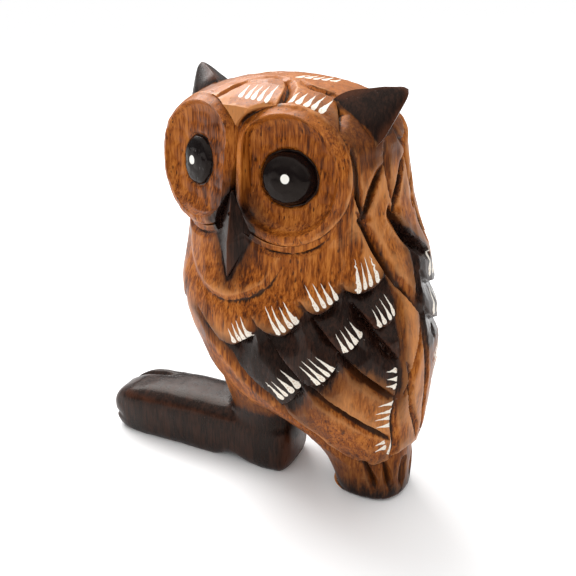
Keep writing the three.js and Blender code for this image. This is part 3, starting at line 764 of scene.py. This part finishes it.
co = coordinates(owl.data)
ends = np.empty(len(owl.data.edges) * 2, np.int32)
owl.data.edges.foreach_get("vertices", ends)
to, other = np.concatenate([ends[::2], ends[1::2]]), np.concatenate([ends[1::2], ends[::2]])
around = np.bincount(to, minlength=len(co))[:, None]


def evened(places):
    """Each vertex's place as the middle of its neighbours."""
    return np.stack([np.bincount(to, places[other, k], len(places)) for k in range(3)], 1) / around


at_leg = np.exp(-((co[:, 2] - 17) / 3.5) ** 2) * (np.abs(co[:, 1] + 6) < 12) * (share(co) > 1.02)
for _ in range(30):
    co = co + at_leg[:, None] * 0.8 * (evened(co) - co)
put(owl.data, co)


# Stain
# The wing feathers, tufts, beak and feet are brushed with a near-black stain, and the tail is made darker
# towards its bottom. Its edge is told as millimetres into the stained part, so that it can be ragged. It also
# gathers in every cut, and the cuts and hollows are darkened further as painted shade.
count = len(co)
normals = np.empty(count * 3, np.float32)
owl.data.vertices.foreach_get("normal", normals)
normals = normals.reshape(-1, 3)
rubbed = co.copy()
hollow = np.zeros(count)
for passes in (6, 22):
    for _ in range(passes):
        rubbed = evened(rubbed)
    hollow += ((rubbed - co) * normals).sum(1)

x_in, y_in = section(co[:, 2])[:2]
place_angle = np.degrees(np.arctan2(co[:, 1] - y_in, co[:, 0] - x_in))
place_height = co[:, 2]
beyond = share(co)
MM_PER_DEGREE = 0.5
TAIL_DARK_TOP = 4.0
LEG_STAIN_TOP = 19.5
UNSTAINED = -9.0


def within(across, up, corners):
    """How far inside an outline places are, negative outside it."""
    corners = np.asarray(corners, float)
    gap = np.full(len(across), 1e9)
    odd = np.zeros(len(across), bool)
    for a, b in zip(corners, np.roll(corners, -1, axis=0)):
        d = b - a
        s = np.clip(((across - a[0]) * d[0] + (up - a[1]) * d[1]) / (d @ d), 0, 1)
        gap = np.minimum(gap, np.hypot(across - a[0] - s * d[0], up - a[1] - s * d[1]))
        crosses = (a[1] > up) != (b[1] > up)
        at = a[0] + (up - a[1]) * d[0] / (d[1] if d[1] else 1)
        odd ^= crosses & (across < at)
    return np.where(odd, gap, -gap)


def on_wrap(corners):
    return [(a * MM_PER_DEGREE, h) for a, h in corners]


NEAR_STAIN = [(-46, 52), (-30, 46.9), (-24, 46.7), (-18, 48.0), (-5, 52.6), (2, 52.6), (11, 53.1), (21, 57.6),
              (26, 58.9), (32, 59.7), (39, 63.2), (46, 63.2), (53, 64.3), (60, 66.8), (63.5, 60), (64, 50),
              (63, 20), (0, 14), (-14, 24), (-8, 31), (-20, 38), (-30, 44)]
# The near wing's stain fades out a little under the middle row's lips, so it also darkens the recesses under
# them as painted shadow.
NEAR_FADE = [(-46, 46), (-30, 43.5), (-18, 36.0), (-6, 30.0), (1, 29.5), (8, 32.0), (14, 36.5), (18, 36.5),
             (23, 37), (29, 39.3), (35, 44), (39, 45), (43, 45), (48, 44), (52, 42), (57, 39), (66, 36)]
near_stain = within(place_angle * MM_PER_DEGREE, place_height, on_wrap(NEAR_STAIN))
near_low = np.interp(place_angle, *zip(*NEAR_FADE))
near_stain = np.minimum(near_stain, (place_height - near_low) * 0.28)

wrapped = np.mod(place_angle, 360)
far_edge = [far_place(t, shoulder_row(t) - 1.6) for t in np.linspace(0, 0.9, 10)]
far_edge += [(95, 68.5), (75, 76.5), (76.5, 64), (79, 54), (84, 40), far_place(1, 15), far_place(0, 15),
             far_place(0, 31)]
far_stain = within(wrapped * MM_PER_DEGREE, place_height, on_wrap(far_edge))
far_low = np.interp(wrapped, (80, 120, 200, 316), (45, 44, 33, 30))
far_stain = np.minimum(far_stain, (place_height - far_low) * 0.4)

stain = np.where(np.abs(beyond - 0.95) < 0.12, np.maximum(near_stain, far_stain), UNSTAINED)
# The tail is made darker towards the table: near black over its last few millimetres and fading out upwards.
tail_darkened = np.maximum((TAIL_DARK_TOP - place_height) * 0.2, -0.55 - 0.16 * np.maximum(place_height - 6, 0))
stain = np.maximum(stain, np.where(beyond < 1.03, tail_darkened, UNSTAINED))
legs = np.minimum((beyond - 1.0) * 30, (LEG_STAIN_TOP - place_height) * 0.3)
stain = np.maximum(stain, np.where((place_height < 32) & (co[:, 1] < 8), legs, UNSTAINED))

from_head = co - HEAD_MIDDLE
h_across, h_out, h_up = from_head @ SIDEWAYS, from_head @ FORWARD, from_head[:, 2]
# The beak's stain outline takes in the hollows on either side of it, so they are dark with stain and with
# painted shade.
BEAK_DARK_OUTLINE = [(0, 86.4), (1.6, 82.5), (7.2, 75.2), (5.2, 72.2), (0.7, 62.0), (-0.7, 62.0), (-5.2, 72.2),
              (-7.2, 75.2), (-1.6, 82.5)]
beak_stain_and_shade = np.where(h_out > 9, within(h_across, h_up, BEAK_DARK_OUTLINE), UNSTAINED)
stain = np.maximum(stain, beak_stain_and_shade)

eye = np.full(count, UNSTAINED)
dished = np.zeros(count, bool)
beside_disc = np.zeros(count, bool)
# A line along the near side of the feet is counted as a ridge, which makes it lighter.
ridge = np.exp(-((co[:, 2] - 13.2 - 0.03 * (co[:, 1] + 30)) / 1.5) ** 2) * smooth(co[:, 0], 4, 7)
ridge *= smooth(co[:, 1], -53, -46) * smooth(co[:, 1], -4, -14)
hollow -= 1.3 * ridge * (beyond > 1.05)
for side in (-1, 1):
    root = in_head(side * TUFT_BASE[0], *TUFT_BASE[1:])
    axis = in_head(side * TUFT_TIP[0], *TUFT_TIP[1:]) - root
    axis /= np.linalg.norm(axis)
    along = (co - root) @ axis
    off = np.linalg.norm(co - root - along[:, None] * axis, axis=1)
    tuft_stain = np.minimum(np.minimum(along + 2.2, 9.5 - off), (beyond - 1.008) * 40)
    stain = np.maximum(stain, tuft_stain)
    middle, across, up, out = disc_axes(side)
    _, eye_across, eye_up, eye_wide, eye_tall = DISHES[side]
    from_disc = co - middle
    a, b, deep = from_disc @ across, from_disc @ up, from_disc @ out
    of_eye = np.hypot((a - eye_across) / eye_wide, (b - eye_up) / eye_tall)
    on_disc = (deep > -5) & (deep < 3)
    eye = np.maximum(eye, np.where(on_disc, (1.0 - of_eye) * eye_tall, UNSTAINED))
    off = np.hypot(a, b)
    dished |= on_disc & (off < DISC_RADIUS - 0.8) & (of_eye > 1.12)
    beside_disc |= (side < 0) & (a < 0) & (off > DISC_RADIUS - 1.5) & (off < DISC_RADIUS + 7)
hollow = np.where(dished, np.minimum(hollow * 0.3, 0.12), hollow)
# The cuts and the hollows of the surface are made dark, partly for stain lying in them and partly as painted
# shade.
uncut = [x_in + (co[:, 0] - x_in) / beyond, y_in + (co[:, 1] - y_in) / beyond, co[:, 2]]
uncut = np.column_stack(uncut)
_, cut_stain_and_shade = cut_away(uncut, np.abs(beyond - 0.92) < 0.13)
cut_stain_and_shade = np.maximum(cut_stain_and_shade, smooth(hollow, 0.28, 0.95) * np.where(beside_disc, 0.45, 1.0))
cut_stain_and_shade = np.where(dished, smooth(hollow, 0.3, 1.0), cut_stain_and_shade)

for name, values in (("stain", stain), ("hollow", hollow), ("cut_stain_and_shade", cut_stain_and_shade), ("eye", eye)):
    owl.data.attributes.new(name, "FLOAT", "POINT").data.foreach_set("value", values.astype(np.float32))


# Painted strokes
# Each feather's end has a few short strokes of white paint, put on with a loaded brush that is lifted as it
# moves: a thin tail and a round blob. A set lies between its first and last tails and first and last blobs.
SIDE_STROKES = [
    # first tail, first blob, last tail, last blob, as angles and heights, and how many
    ((-23, 51.2), (-20, 47.8), (-14, 54.5), (-10, 50.3), 4),
    ((1, 57.8), (8, 52.9), (11, 59.9), (18, 55.8), 4),
    ((22, 64.4), (28, 59.4), (33, 65.7), (37, 61.7), 4),
    ((46.3, 69.9), (46.6, 63.4), (53, 70.8), (55, 65.2), 4),
    ((-9, 37.9), (-2, 33.9), (3, 41.9), (11, 38.5), 4),
    ((15, 45.3), (23, 40.8), (24, 48.6), (32, 44.9), 4),
    ((36, 53.7), (39, 49.8), (42, 56.8), (47, 53.1), 4),
    ((52, 59.4), (55, 55.4), (59, 61.6), (62, 57.3), 4),
    ((55, 43.9), (61, 43.4), (55, 40.0), (60, 39.6), 3),
    ((51, 34.4), (60, 34.9), (48, 27.4), (58, 28.1), 4),
    ((40, 21.2), (48, 22.4), (36, 18.4), (47, 20.5), 2),
    ((52.5, 24.0), (45.5, 17.7), (56, 23.0), (50.5, 17.0), 1),
    ((91, 40.5), (101, 43.0), (92, 31.5), (101, 34.8), 4),
    ((94, 27.5), (103, 29.5), (95, 18.0), (105, 20.0), 4),
]
for k in range(FAR_FEATHERS):
    for row in (shoulder_row, middle_row):
        first, last = (k + 0.16) / FAR_FEATHERS, (k + 0.66) / FAR_FEATHERS
        ends_at = [far_place(t, row(t)) for t in (first, last)]
        tails = [(angle + 3.5, height + 2.4) for angle, height in ends_at]
        blobs = [(angle - 3.5, height - 2.8) for angle, height in ends_at]
        SIDE_STROKES.append((tails[0], blobs[0], tails[1], blobs[1], 4))
CROWN_STROKES = [
    # the same in plan
    ((8.7, -5.3), (14.1, -5.1), (8.3, 1.4), (15.6, 1.9), 5),
    ((9.9, 7.1), (14.4, 7.0), (8.5, 14.5), (14.2, 14.1), 5),
    ((-4.6, 3.9), (0.6, 2.8), (-8.0, 10.6), (-2.4, 10.1), 5),
]


def stroke_place(p, tail_a, blob_a, tail_b, blob_b):
    """Where places lie in a set of strokes: from its first to its last, and from tails to blobs."""
    a, e, f = np.array(tail_a), np.subtract(tail_b, tail_a), np.subtract(blob_a, tail_a)
    g = np.add(tail_a, blob_b) - np.add(tail_b, blob_a)
    u, v = np.full(len(p), 0.5), np.full(len(p), 0.5)
    for _ in range(8):
        miss = p - a - u[:, None] * e - v[:, None] * f - (u * v)[:, None] * g
        du, dv = e + v[:, None] * g, f + u[:, None] * g
        area = du[:, 0] * dv[:, 1] - du[:, 1] * dv[:, 0]
        area = np.where(np.abs(area) < 1e-3, 1e-3, area)
        u = np.clip(u + (miss[:, 0] * dv[:, 1] - miss[:, 1] * dv[:, 0]) / area, -3, 4)
        v = np.clip(v + (du[:, 0] * miss[:, 1] - du[:, 1] * miss[:, 0]) / area, -3, 4)
    return u, v


corner_vertex = np.empty(len(owl.data.loops), np.int32)
owl.data.loops.foreach_get("vertex_index", corner_vertex)
start = np.empty(len(owl.data.polygons), np.int32)
owl.data.polygons.foreach_get("loop_start", start)
sides_of = np.empty(len(owl.data.polygons), np.int32)
owl.data.polygons.foreach_get("loop_total", sides_of)
face_of = np.repeat(np.arange(len(start)), sides_of)
stroke_uv = np.full((len(corner_vertex), 2), -1.0)
owner = np.full(len(start), -1)
for group, (*corners, strokes) in enumerate(SIDE_STROKES + CROWN_STROKES):
    corners = np.array(corners, float)
    if group < len(SIDE_STROKES):
        turn = np.mod(place_angle - corners[0, 0] + 180, 360) - 180 + corners[0, 0]
        p = np.column_stack([turn * MM_PER_DEGREE, place_height])
        corners[:, 0] *= MM_PER_DEGREE
        usable = np.abs(beyond - 0.94) < 0.12
    else:
        p = co[:, :2]
        usable = (co[:, 2] > 97) & (normals[:, 2] > 0.35)
    reach = np.abs(p - corners.mean(0)).max(1) < 8
    u, v = stroke_place(p, *corners)
    spare = 1.3 / (strokes - 1) if strokes > 1 else 0.6
    good = usable & reach & (u > -spare) & (u < 1 + spare) & (v > -0.2) & (v < 1.3)
    mine = np.minimum.reduceat(good[corner_vertex].astype(int), start) == 1
    mine &= owner < 0
    owner[mine] = group
    chosen = mine[face_of]
    index = np.clip(u * (strokes - 1) + 0.5 if strokes > 1 else u, 0.001, strokes - 0.001)
    stroke_uv[chosen, 0] = index[corner_vertex[chosen]] + 16 * group
    stroke_uv[chosen, 1] = v[corner_vertex[chosen]]
owl.data.uv_layers.new(name="strokes").data.foreach_set("uv", stroke_uv.astype(np.float32).ravel())

# The finished carving is set down in the frame.
METRE = 0.001
ORIGIN = np.array([1.1411, 7.7895, 0.0])
lo, hi = (np.array(c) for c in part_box("carved_owl"))
put(owl.data, np.clip((co + ORIGIN) * METRE, lo, hi))
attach(owl, "root")
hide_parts("carved_owl")


# Finish
# Brown tropical wood with short dark pores and a straight upright grain, the stain and the paint over it, and
# one coat of satin varnish over all. The eyes have a thicker, glossier coat.
def join(tree, value, socket):
    if isinstance(value, bpy.types.NodeSocket):
        tree.links.new(value, socket)
    else:
        socket.default_value = value


def add(tree, kind):
    return tree.nodes.new("ShaderNode" + kind)


def calc(tree, operation, a, b=0.0, c=0.0, clamp=False):
    node = add(tree, "Math")
    node.operation = operation
    node.use_clamp = clamp
    for value, socket in zip((a, b, c), node.inputs):
        join(tree, value, socket)
    return node.outputs[0]


def swing(tree, value, amount, onto, clamp=False):
    """A noise's swing about its middle, times an amount, added onto another value."""
    return calc(tree, "MULTIPLY_ADD", calc(tree, "SUBTRACT", value, 0.5), amount, onto, clamp)


def ease(tree, value, low, high, to_low=0.0, to_high=1.0):
    node = add(tree, "MapRange")
    node.interpolation_type = "SMOOTHSTEP"
    for number, name in ((low, "From Min"), (high, "From Max"), (to_low, "To Min"), (to_high, "To Max")):
        join(tree, number, node.inputs[name])
    join(tree, value, node.inputs["Value"])
    return node.outputs["Result"]


def stretched(tree, vector, scale):
    node = add(tree, "VectorMath")
    node.operation = "MULTIPLY"
    join(tree, vector, node.inputs[0])
    node.inputs[1].default_value = scale
    return node.outputs[0]


def noise(tree, vector, scale, detail=2.0, rough=0.5, warp=0.0):
    node = add(tree, "TexNoise")
    names = ("Vector", "Scale", "Detail", "Roughness", "Distortion")
    for name, value in zip(names, (vector, scale, detail, rough, warp)):
        join(tree, value, node.inputs[name])
    return node.outputs["Fac"]


def blend(tree, factor, a, b):
    node = add(tree, "Mix")
    node.data_type = "RGBA"
    for name, value in (("Factor", factor), ("A", a), ("B", b)):
        join(tree, value, node.inputs[name])
    return node.outputs["Result"]


def shader_group(name, inputs, outputs):
    tree = bpy.data.node_groups.new(name, "ShaderNodeTree")
    for label, kind in inputs:
        tree.interface.new_socket(label, in_out="INPUT", socket_type=kind)
    for label, kind in outputs:
        tree.interface.new_socket(label, in_out="OUTPUT", socket_type=kind)
    return tree, tree.nodes.new("NodeGroupInput").outputs, tree.nodes.new("NodeGroupOutput").inputs


# Grain: long upright streaks, broader bands of growth and scattered short pores.
grain, g_in, g_out = shader_group(
    "wood_grain",
    [("Place mm", "NodeSocketVector"), ("Pore size", "NodeSocketFloat")],
    [("Tone", "NodeSocketFloat"), ("Pores", "NodeSocketFloat"), ("Height", "NodeSocketFloat")],
)
streak = noise(grain, stretched(grain, g_in["Place mm"], (1.0, 1.0, 0.10)), 1.5, 4.0, 0.62, 0.3)
hair = noise(grain, stretched(grain, g_in["Place mm"], (1.0, 1.0, 0.05)), 3.6, 2.0)
band = noise(grain, stretched(grain, g_in["Place mm"], (1.0, 1.0, 0.16)), 0.17, 3.0, 0.55, 1.2)
patch = noise(grain, g_in["Place mm"], 0.09, 2.0)
tone = swing(grain, streak, 2.2, 0.5)
tone = swing(grain, band, 1.5, tone)
tone = swing(grain, hair, 1.1, tone)
tone = swing(grain, patch, 0.8, tone, clamp=True)
cells = add(grain, "TexVoronoi")
join(grain, stretched(grain, g_in["Place mm"], (1.25, 1.25, 0.36)), cells.inputs["Vector"])
cells.inputs["Scale"].default_value = 1.0
speckle = noise(grain, g_in["Place mm"], 0.5, 2.0)
size = calc(grain, "MULTIPLY", g_in["Pore size"], ease(grain, speckle, 0.35, 0.65, 0.3, 1.3))
pores = ease(grain, cells.outputs["Distance"], size, calc(grain, "MULTIPLY", size, 0.4))
join(grain, tone, g_out["Tone"])
join(grain, pores, g_out["Pores"])
join(grain, calc(grain, "MULTIPLY_ADD", pores, -0.6, calc(grain, "MULTIPLY", streak, 0.35)), g_out["Height"])

# Brush strokes: a teardrop in each stroke's own strip, thinner in its middle where the brown shows.
strokes, s_in, s_out = shader_group(
    "brush_strokes",
    [("Place", "NodeSocketVector"), ("Place mm", "NodeSocketVector"), ("Width", "NodeSocketFloat")],
    [("Mask", "NodeSocketFloat"), ("Body", "NodeSocketFloat")],
)
TEARDROP = [(0.10, 0.0), (0.16, 0.035), (0.45, 0.13), (0.63, 0.22), (0.76, 0.31), (0.83, 0.31), (0.88, 0.22),
            (0.915, 0.0)]
parts = add(strokes, "SeparateXYZ")
join(strokes, s_in["Place"], parts.inputs[0])
strip, along = parts.outputs["X"], parts.outputs["Y"]
chance = add(strokes, "TexWhiteNoise")
chance.noise_dimensions = "1D"
join(strokes, calc(strokes, "FLOOR", strip), chance.inputs["W"])
chances = add(strokes, "SeparateColor")
join(strokes, chance.outputs["Color"], chances.inputs[0])
aside, longer, wider = (chances.outputs[name] for name in ("Red", "Green", "Blue"))
wobble = noise(strokes, s_in["Place mm"], 1.1, 2.0)
off_line = calc(strokes, "SUBTRACT", calc(strokes, "FRACT", strip), 0.5)
off_line = swing(strokes, aside, 0.16, off_line)
off_line = swing(strokes, wobble, 0.16, off_line)
longer = swing(strokes, longer, 0.26, 0.0)
run = calc(strokes, "MULTIPLY_ADD", longer, calc(strokes, "SUBTRACT", 1.0, along), along)
shape = add(strokes, "FloatCurve")
curve = shape.mapping.curves[0]
curve.points[0].location = (0.0, 0.0)
curve.points[1].location = (1.0, 0.0)
for at, wide in TEARDROP:
    curve.points.new(at, wide)
shape.mapping.update()
join(strokes, calc(strokes, "MULTIPLY_ADD", run, 0.72, 0.14), shape.inputs["Value"])
half = calc(strokes, "MULTIPLY", shape.outputs[0], swing(strokes, wider, 0.3, 1.0))
half = calc(strokes, "MULTIPLY", half, s_in["Width"])
inner = calc(strokes, "SUBTRACT", half, calc(strokes, "ABSOLUTE", off_line))
used = calc(strokes, "GREATER_THAN", strip, -0.5)
join(strokes, calc(strokes, "MULTIPLY", ease(strokes, inner, -0.01, 0.045), used), s_out["Mask"])
dry = noise(strokes, s_in["Place mm"], 2.6, 3.0, 0.6)
edge = ease(strokes, inner, 0.19, 0.05)
body = calc(strokes, "ADD", edge, ease(strokes, dry, 0.30, 0.50), clamp=True)
join(strokes, body, s_out["Body"])

wood = bpy.data.materials.new("stained_wood")
wood.use_nodes = True
tree = wood.node_tree
surface = tree.nodes["Principled BSDF"]
here = add(tree, "TexCoord")
in_mm = stretched(tree, here.outputs["Object"], (1000.0, 1000.0, 1000.0))


def attribute(name):
    node = add(tree, "Attribute")
    node.attribute_name = name
    return node.outputs["Fac"]


figure = add(tree, "Group")
figure.node_tree = grain
join(tree, in_mm, figure.inputs["Place mm"])
figure.inputs["Pore size"].default_value = 0.25
painted = add(tree, "Group")
painted.node_tree = strokes
stroke_map = add(tree, "UVMap")
stroke_map.uv_map = "strokes"
join(tree, stroke_map.outputs["UV"], painted.inputs["Place"])
join(tree, in_mm, painted.inputs["Place mm"])
painted.inputs["Width"].default_value = 1.15

DARK_GRAIN = (0.060, 0.0125, 0.002, 1)
MIDDLE_GRAIN = (0.265, 0.066, 0.0065, 1)
LIGHT_GRAIN = (0.46, 0.150, 0.024, 1)
CROWN_LIT_BROWN = (0.42, 0.135, 0.026, 1)
PORE_BROWN = (0.03, 0.010, 0.004, 1)
brown = add(tree, "ValToRGB")
ramp = brown.color_ramp.elements
ramp[0].position, ramp[0].color = 0.05, DARK_GRAIN
ramp[1].position, ramp[1].color = 0.95, LIGHT_GRAIN
ramp.new(0.5).color = MIDDLE_GRAIN
join(tree, figure.outputs["Tone"], brown.inputs[0])
place_parts = add(tree, "SeparateXYZ")
join(tree, in_mm, place_parts.inputs[0])
# The top of the head is painted lighter towards the crown, a painted highlight from the light above.
crown_lit = ease(tree, place_parts.outputs["Z"], 96.5, 102.5, 0.0, 0.55)
colour = blend(tree, crown_lit, brown.outputs[0], CROWN_LIT_BROWN)
colour = blend(tree, calc(tree, "MULTIPLY", figure.outputs["Pores"], 0.85), colour, PORE_BROWN)

# Stain lying in the cuts, with painted shade in the cuts and hollows, and edges rubbed lighter, partly a
# painted highlight.
bent = attribute("hollow")
ragged = noise(tree, stretched(tree, in_mm, (1.0, 1.0, 0.4)), 0.7, 4.0, 0.65)
dark_cut = ease(tree, swing(tree, ragged, 0.7, attribute("cut_stain_and_shade")), 0.12, 0.62)
colour = blend(tree, calc(tree, "MULTIPLY", dark_cut, 0.93), colour, (0.016, 0.007, 0.004, 1))
# Ridges and rims are made lighter: partly rubbed wear and partly a painted highlight where the light catches
# them.
rubbed_and_lit = ease(tree, bent, -0.20, -0.80, 0.0, 0.60)
colour = blend(tree, rubbed_and_lit, colour, (0.58, 0.25, 0.085, 1))

# The brushed stain, fading out round its edge and worn brown on the ridges. That faded edge also darkens the
# wood round the beak and the tufts' bases as painted shade.
into = swing(tree, ragged, 1.7, attribute("stain"))
stain_edge_and_shade = ease(tree, into, -3.4, 0.0, 0.0, 0.70)
colour = blend(tree, stain_edge_and_shade, colour, (0.055, 0.016, 0.0045, 1))
stained = ease(tree, into, -0.35, 0.45)
worn = ease(tree, swing(tree, ragged, 0.9, bent), -0.9, -2.2, 0.0, 0.42)
black_grain = ease(tree, figure.outputs["Tone"], 0.3, 1.0)
black = blend(tree, black_grain, (0.0080, 0.0033, 0.0024, 1), (0.030, 0.0115, 0.0070, 1))
black = blend(tree, worn, black, (0.12, 0.036, 0.014, 1))
colour = blend(tree, stained, colour, black)

# The paint of the strokes, the black eyes and the white dot in each.
THIN_PAINT = (0.56, 0.34, 0.20, 1)
FULL_PAINT = (0.86, 0.80, 0.70, 1)
EYE_DOTS = ((19.1, 7.92, 87.4), (12.69, -19.02, 87.12))
paint = blend(tree, painted.outputs["Body"], THIN_PAINT, FULL_PAINT)
colour = blend(tree, painted.outputs["Mask"], colour, paint)
in_eye = ease(tree, attribute("eye"), -0.15, 0.15)
colour = blend(tree, in_eye, colour, (0.006, 0.004, 0.004, 1))
dots = 0.0
for spot in EYE_DOTS:
    gap = add(tree, "VectorMath")
    gap.operation = "DISTANCE"
    join(tree, in_mm, gap.inputs[0])
    gap.inputs[1].default_value = tuple(np.array(spot) + ORIGIN)
    dots = calc(tree, "MAXIMUM", dots, ease(tree, gap.outputs["Value"], 1.12, 0.98))
colour = blend(tree, dots, colour, (0.88, 0.86, 0.80, 1))
join(tree, colour, surface.inputs["Base Color"])

# The varnish, glossier over stain and in the cuts, glossiest on the eyes and dull over paint.
matt = calc(tree, "MULTIPLY_ADD", figure.outputs["Tone"], 0.10, 0.34)
for mask, change in ((painted.outputs["Mask"], 0.15), (stained, -0.09), (dark_cut, -0.07)):
    matt = calc(tree, "MULTIPLY_ADD", mask, change, matt)
matt = calc(tree, "MULTIPLY_ADD", in_eye, -0.24, matt, clamp=True)
join(tree, matt, surface.inputs["Roughness"])
surface.inputs["Specular IOR Level"].default_value = 0.15
surface.inputs["Specular Tint"].default_value = (1.0, 0.82, 0.70, 1)
join(tree, calc(tree, "MULTIPLY_ADD", stained, 0.03, 0.03), surface.inputs["Coat Weight"])
surface.inputs["Coat Roughness"].default_value = 0.20
bump = add(tree, "Bump")
bump.inputs["Strength"].default_value = 0.35
bump.inputs["Distance"].default_value = 0.0002
relief = calc(tree, "MULTIPLY_ADD", painted.outputs["Mask"], 0.8, figure.outputs["Height"])
join(tree, relief, bump.inputs["Height"])
join(tree, bump.outputs["Normal"], surface.inputs["Normal"])
owl.data.materials.clear()
owl.data.materials.append(wood)


# Floor, light and camera
# A white table top under a wide soft light and a bright ceiling; what the camera sees beyond it is plain
# white. The camera has the photo's own view.
bpy.ops.mesh.primitive_plane_add(size=6, location=(0, 0, 0))
floor = bpy.context.object
floor.name = "floor"
paper = bpy.data.materials.new("pale_floor")
paper.use_nodes = True
paper_surface = paper.node_tree.nodes["Principled BSDF"]
paper_surface.inputs["Base Color"].default_value = (0.93, 0.93, 0.93, 1)
paper_surface.inputs["Roughness"].default_value = 0.7
floor.data.materials.append(paper)

world = bpy.data.worlds.new("studio")
bpy.context.scene.world = world
world.use_nodes = True
sky = world.node_tree
sky_parts = add(sky, "SeparateXYZ")
join(sky, add(sky, "TexCoord").outputs["Generated"], sky_parts.inputs[0])
overhead = ease(sky, sky_parts.outputs["Z"], 0.0, 0.7, 0.14, 1.27)
backdrop = calc(sky, "MULTIPLY", add(sky, "LightPath").outputs["Is Camera Ray"], 0.98)
join(sky, calc(sky, "MAXIMUM", overhead, backdrop), sky.nodes["Background"].inputs["Strength"])
sky.nodes["Background"].inputs["Color"].default_value = (1, 1, 1, 1)

key_light = bpy.data.lights.new("key", "AREA")
key_light.energy = 5.0
key_light.size = 0.5
key = bpy.data.objects.new("key", key_light)
bpy.context.scene.collection.objects.link(key)
key.location = (-0.24, -0.34, 0.50)
key.rotation_euler = (Vector(key.location) - Vector((0, 0, 0.05))).to_track_quat("Z", "Y").to_euler()

AZIMUTH, ELEVATION, DISTANCE = math.radians(114.5), math.radians(24.5), 0.200
back_axis = Vector((
    math.sin(AZIMUTH) * math.cos(ELEVATION),
    -math.cos(AZIMUTH) * math.cos(ELEVATION),
    math.sin(ELEVATION),
))
looks_at = Vector((ORIGIN[0] * METRE, ORIGIN[1] * METRE, 0.0523))
lens = bpy.data.cameras.new("camera")
lens.sensor_width = 36
lens.lens = 36 * 775 / 576
lens.clip_start = 0.01
camera = bpy.data.objects.new("camera", lens)
bpy.context.scene.collection.objects.link(camera)
camera.location = looks_at + back_axis * DISTANCE
camera.rotation_euler = back_axis.to_track_quat("Z", "Y").to_euler()
bpy.context.scene.camera = camera
bpy.context.scene.view_settings.view_transform = "Standard"
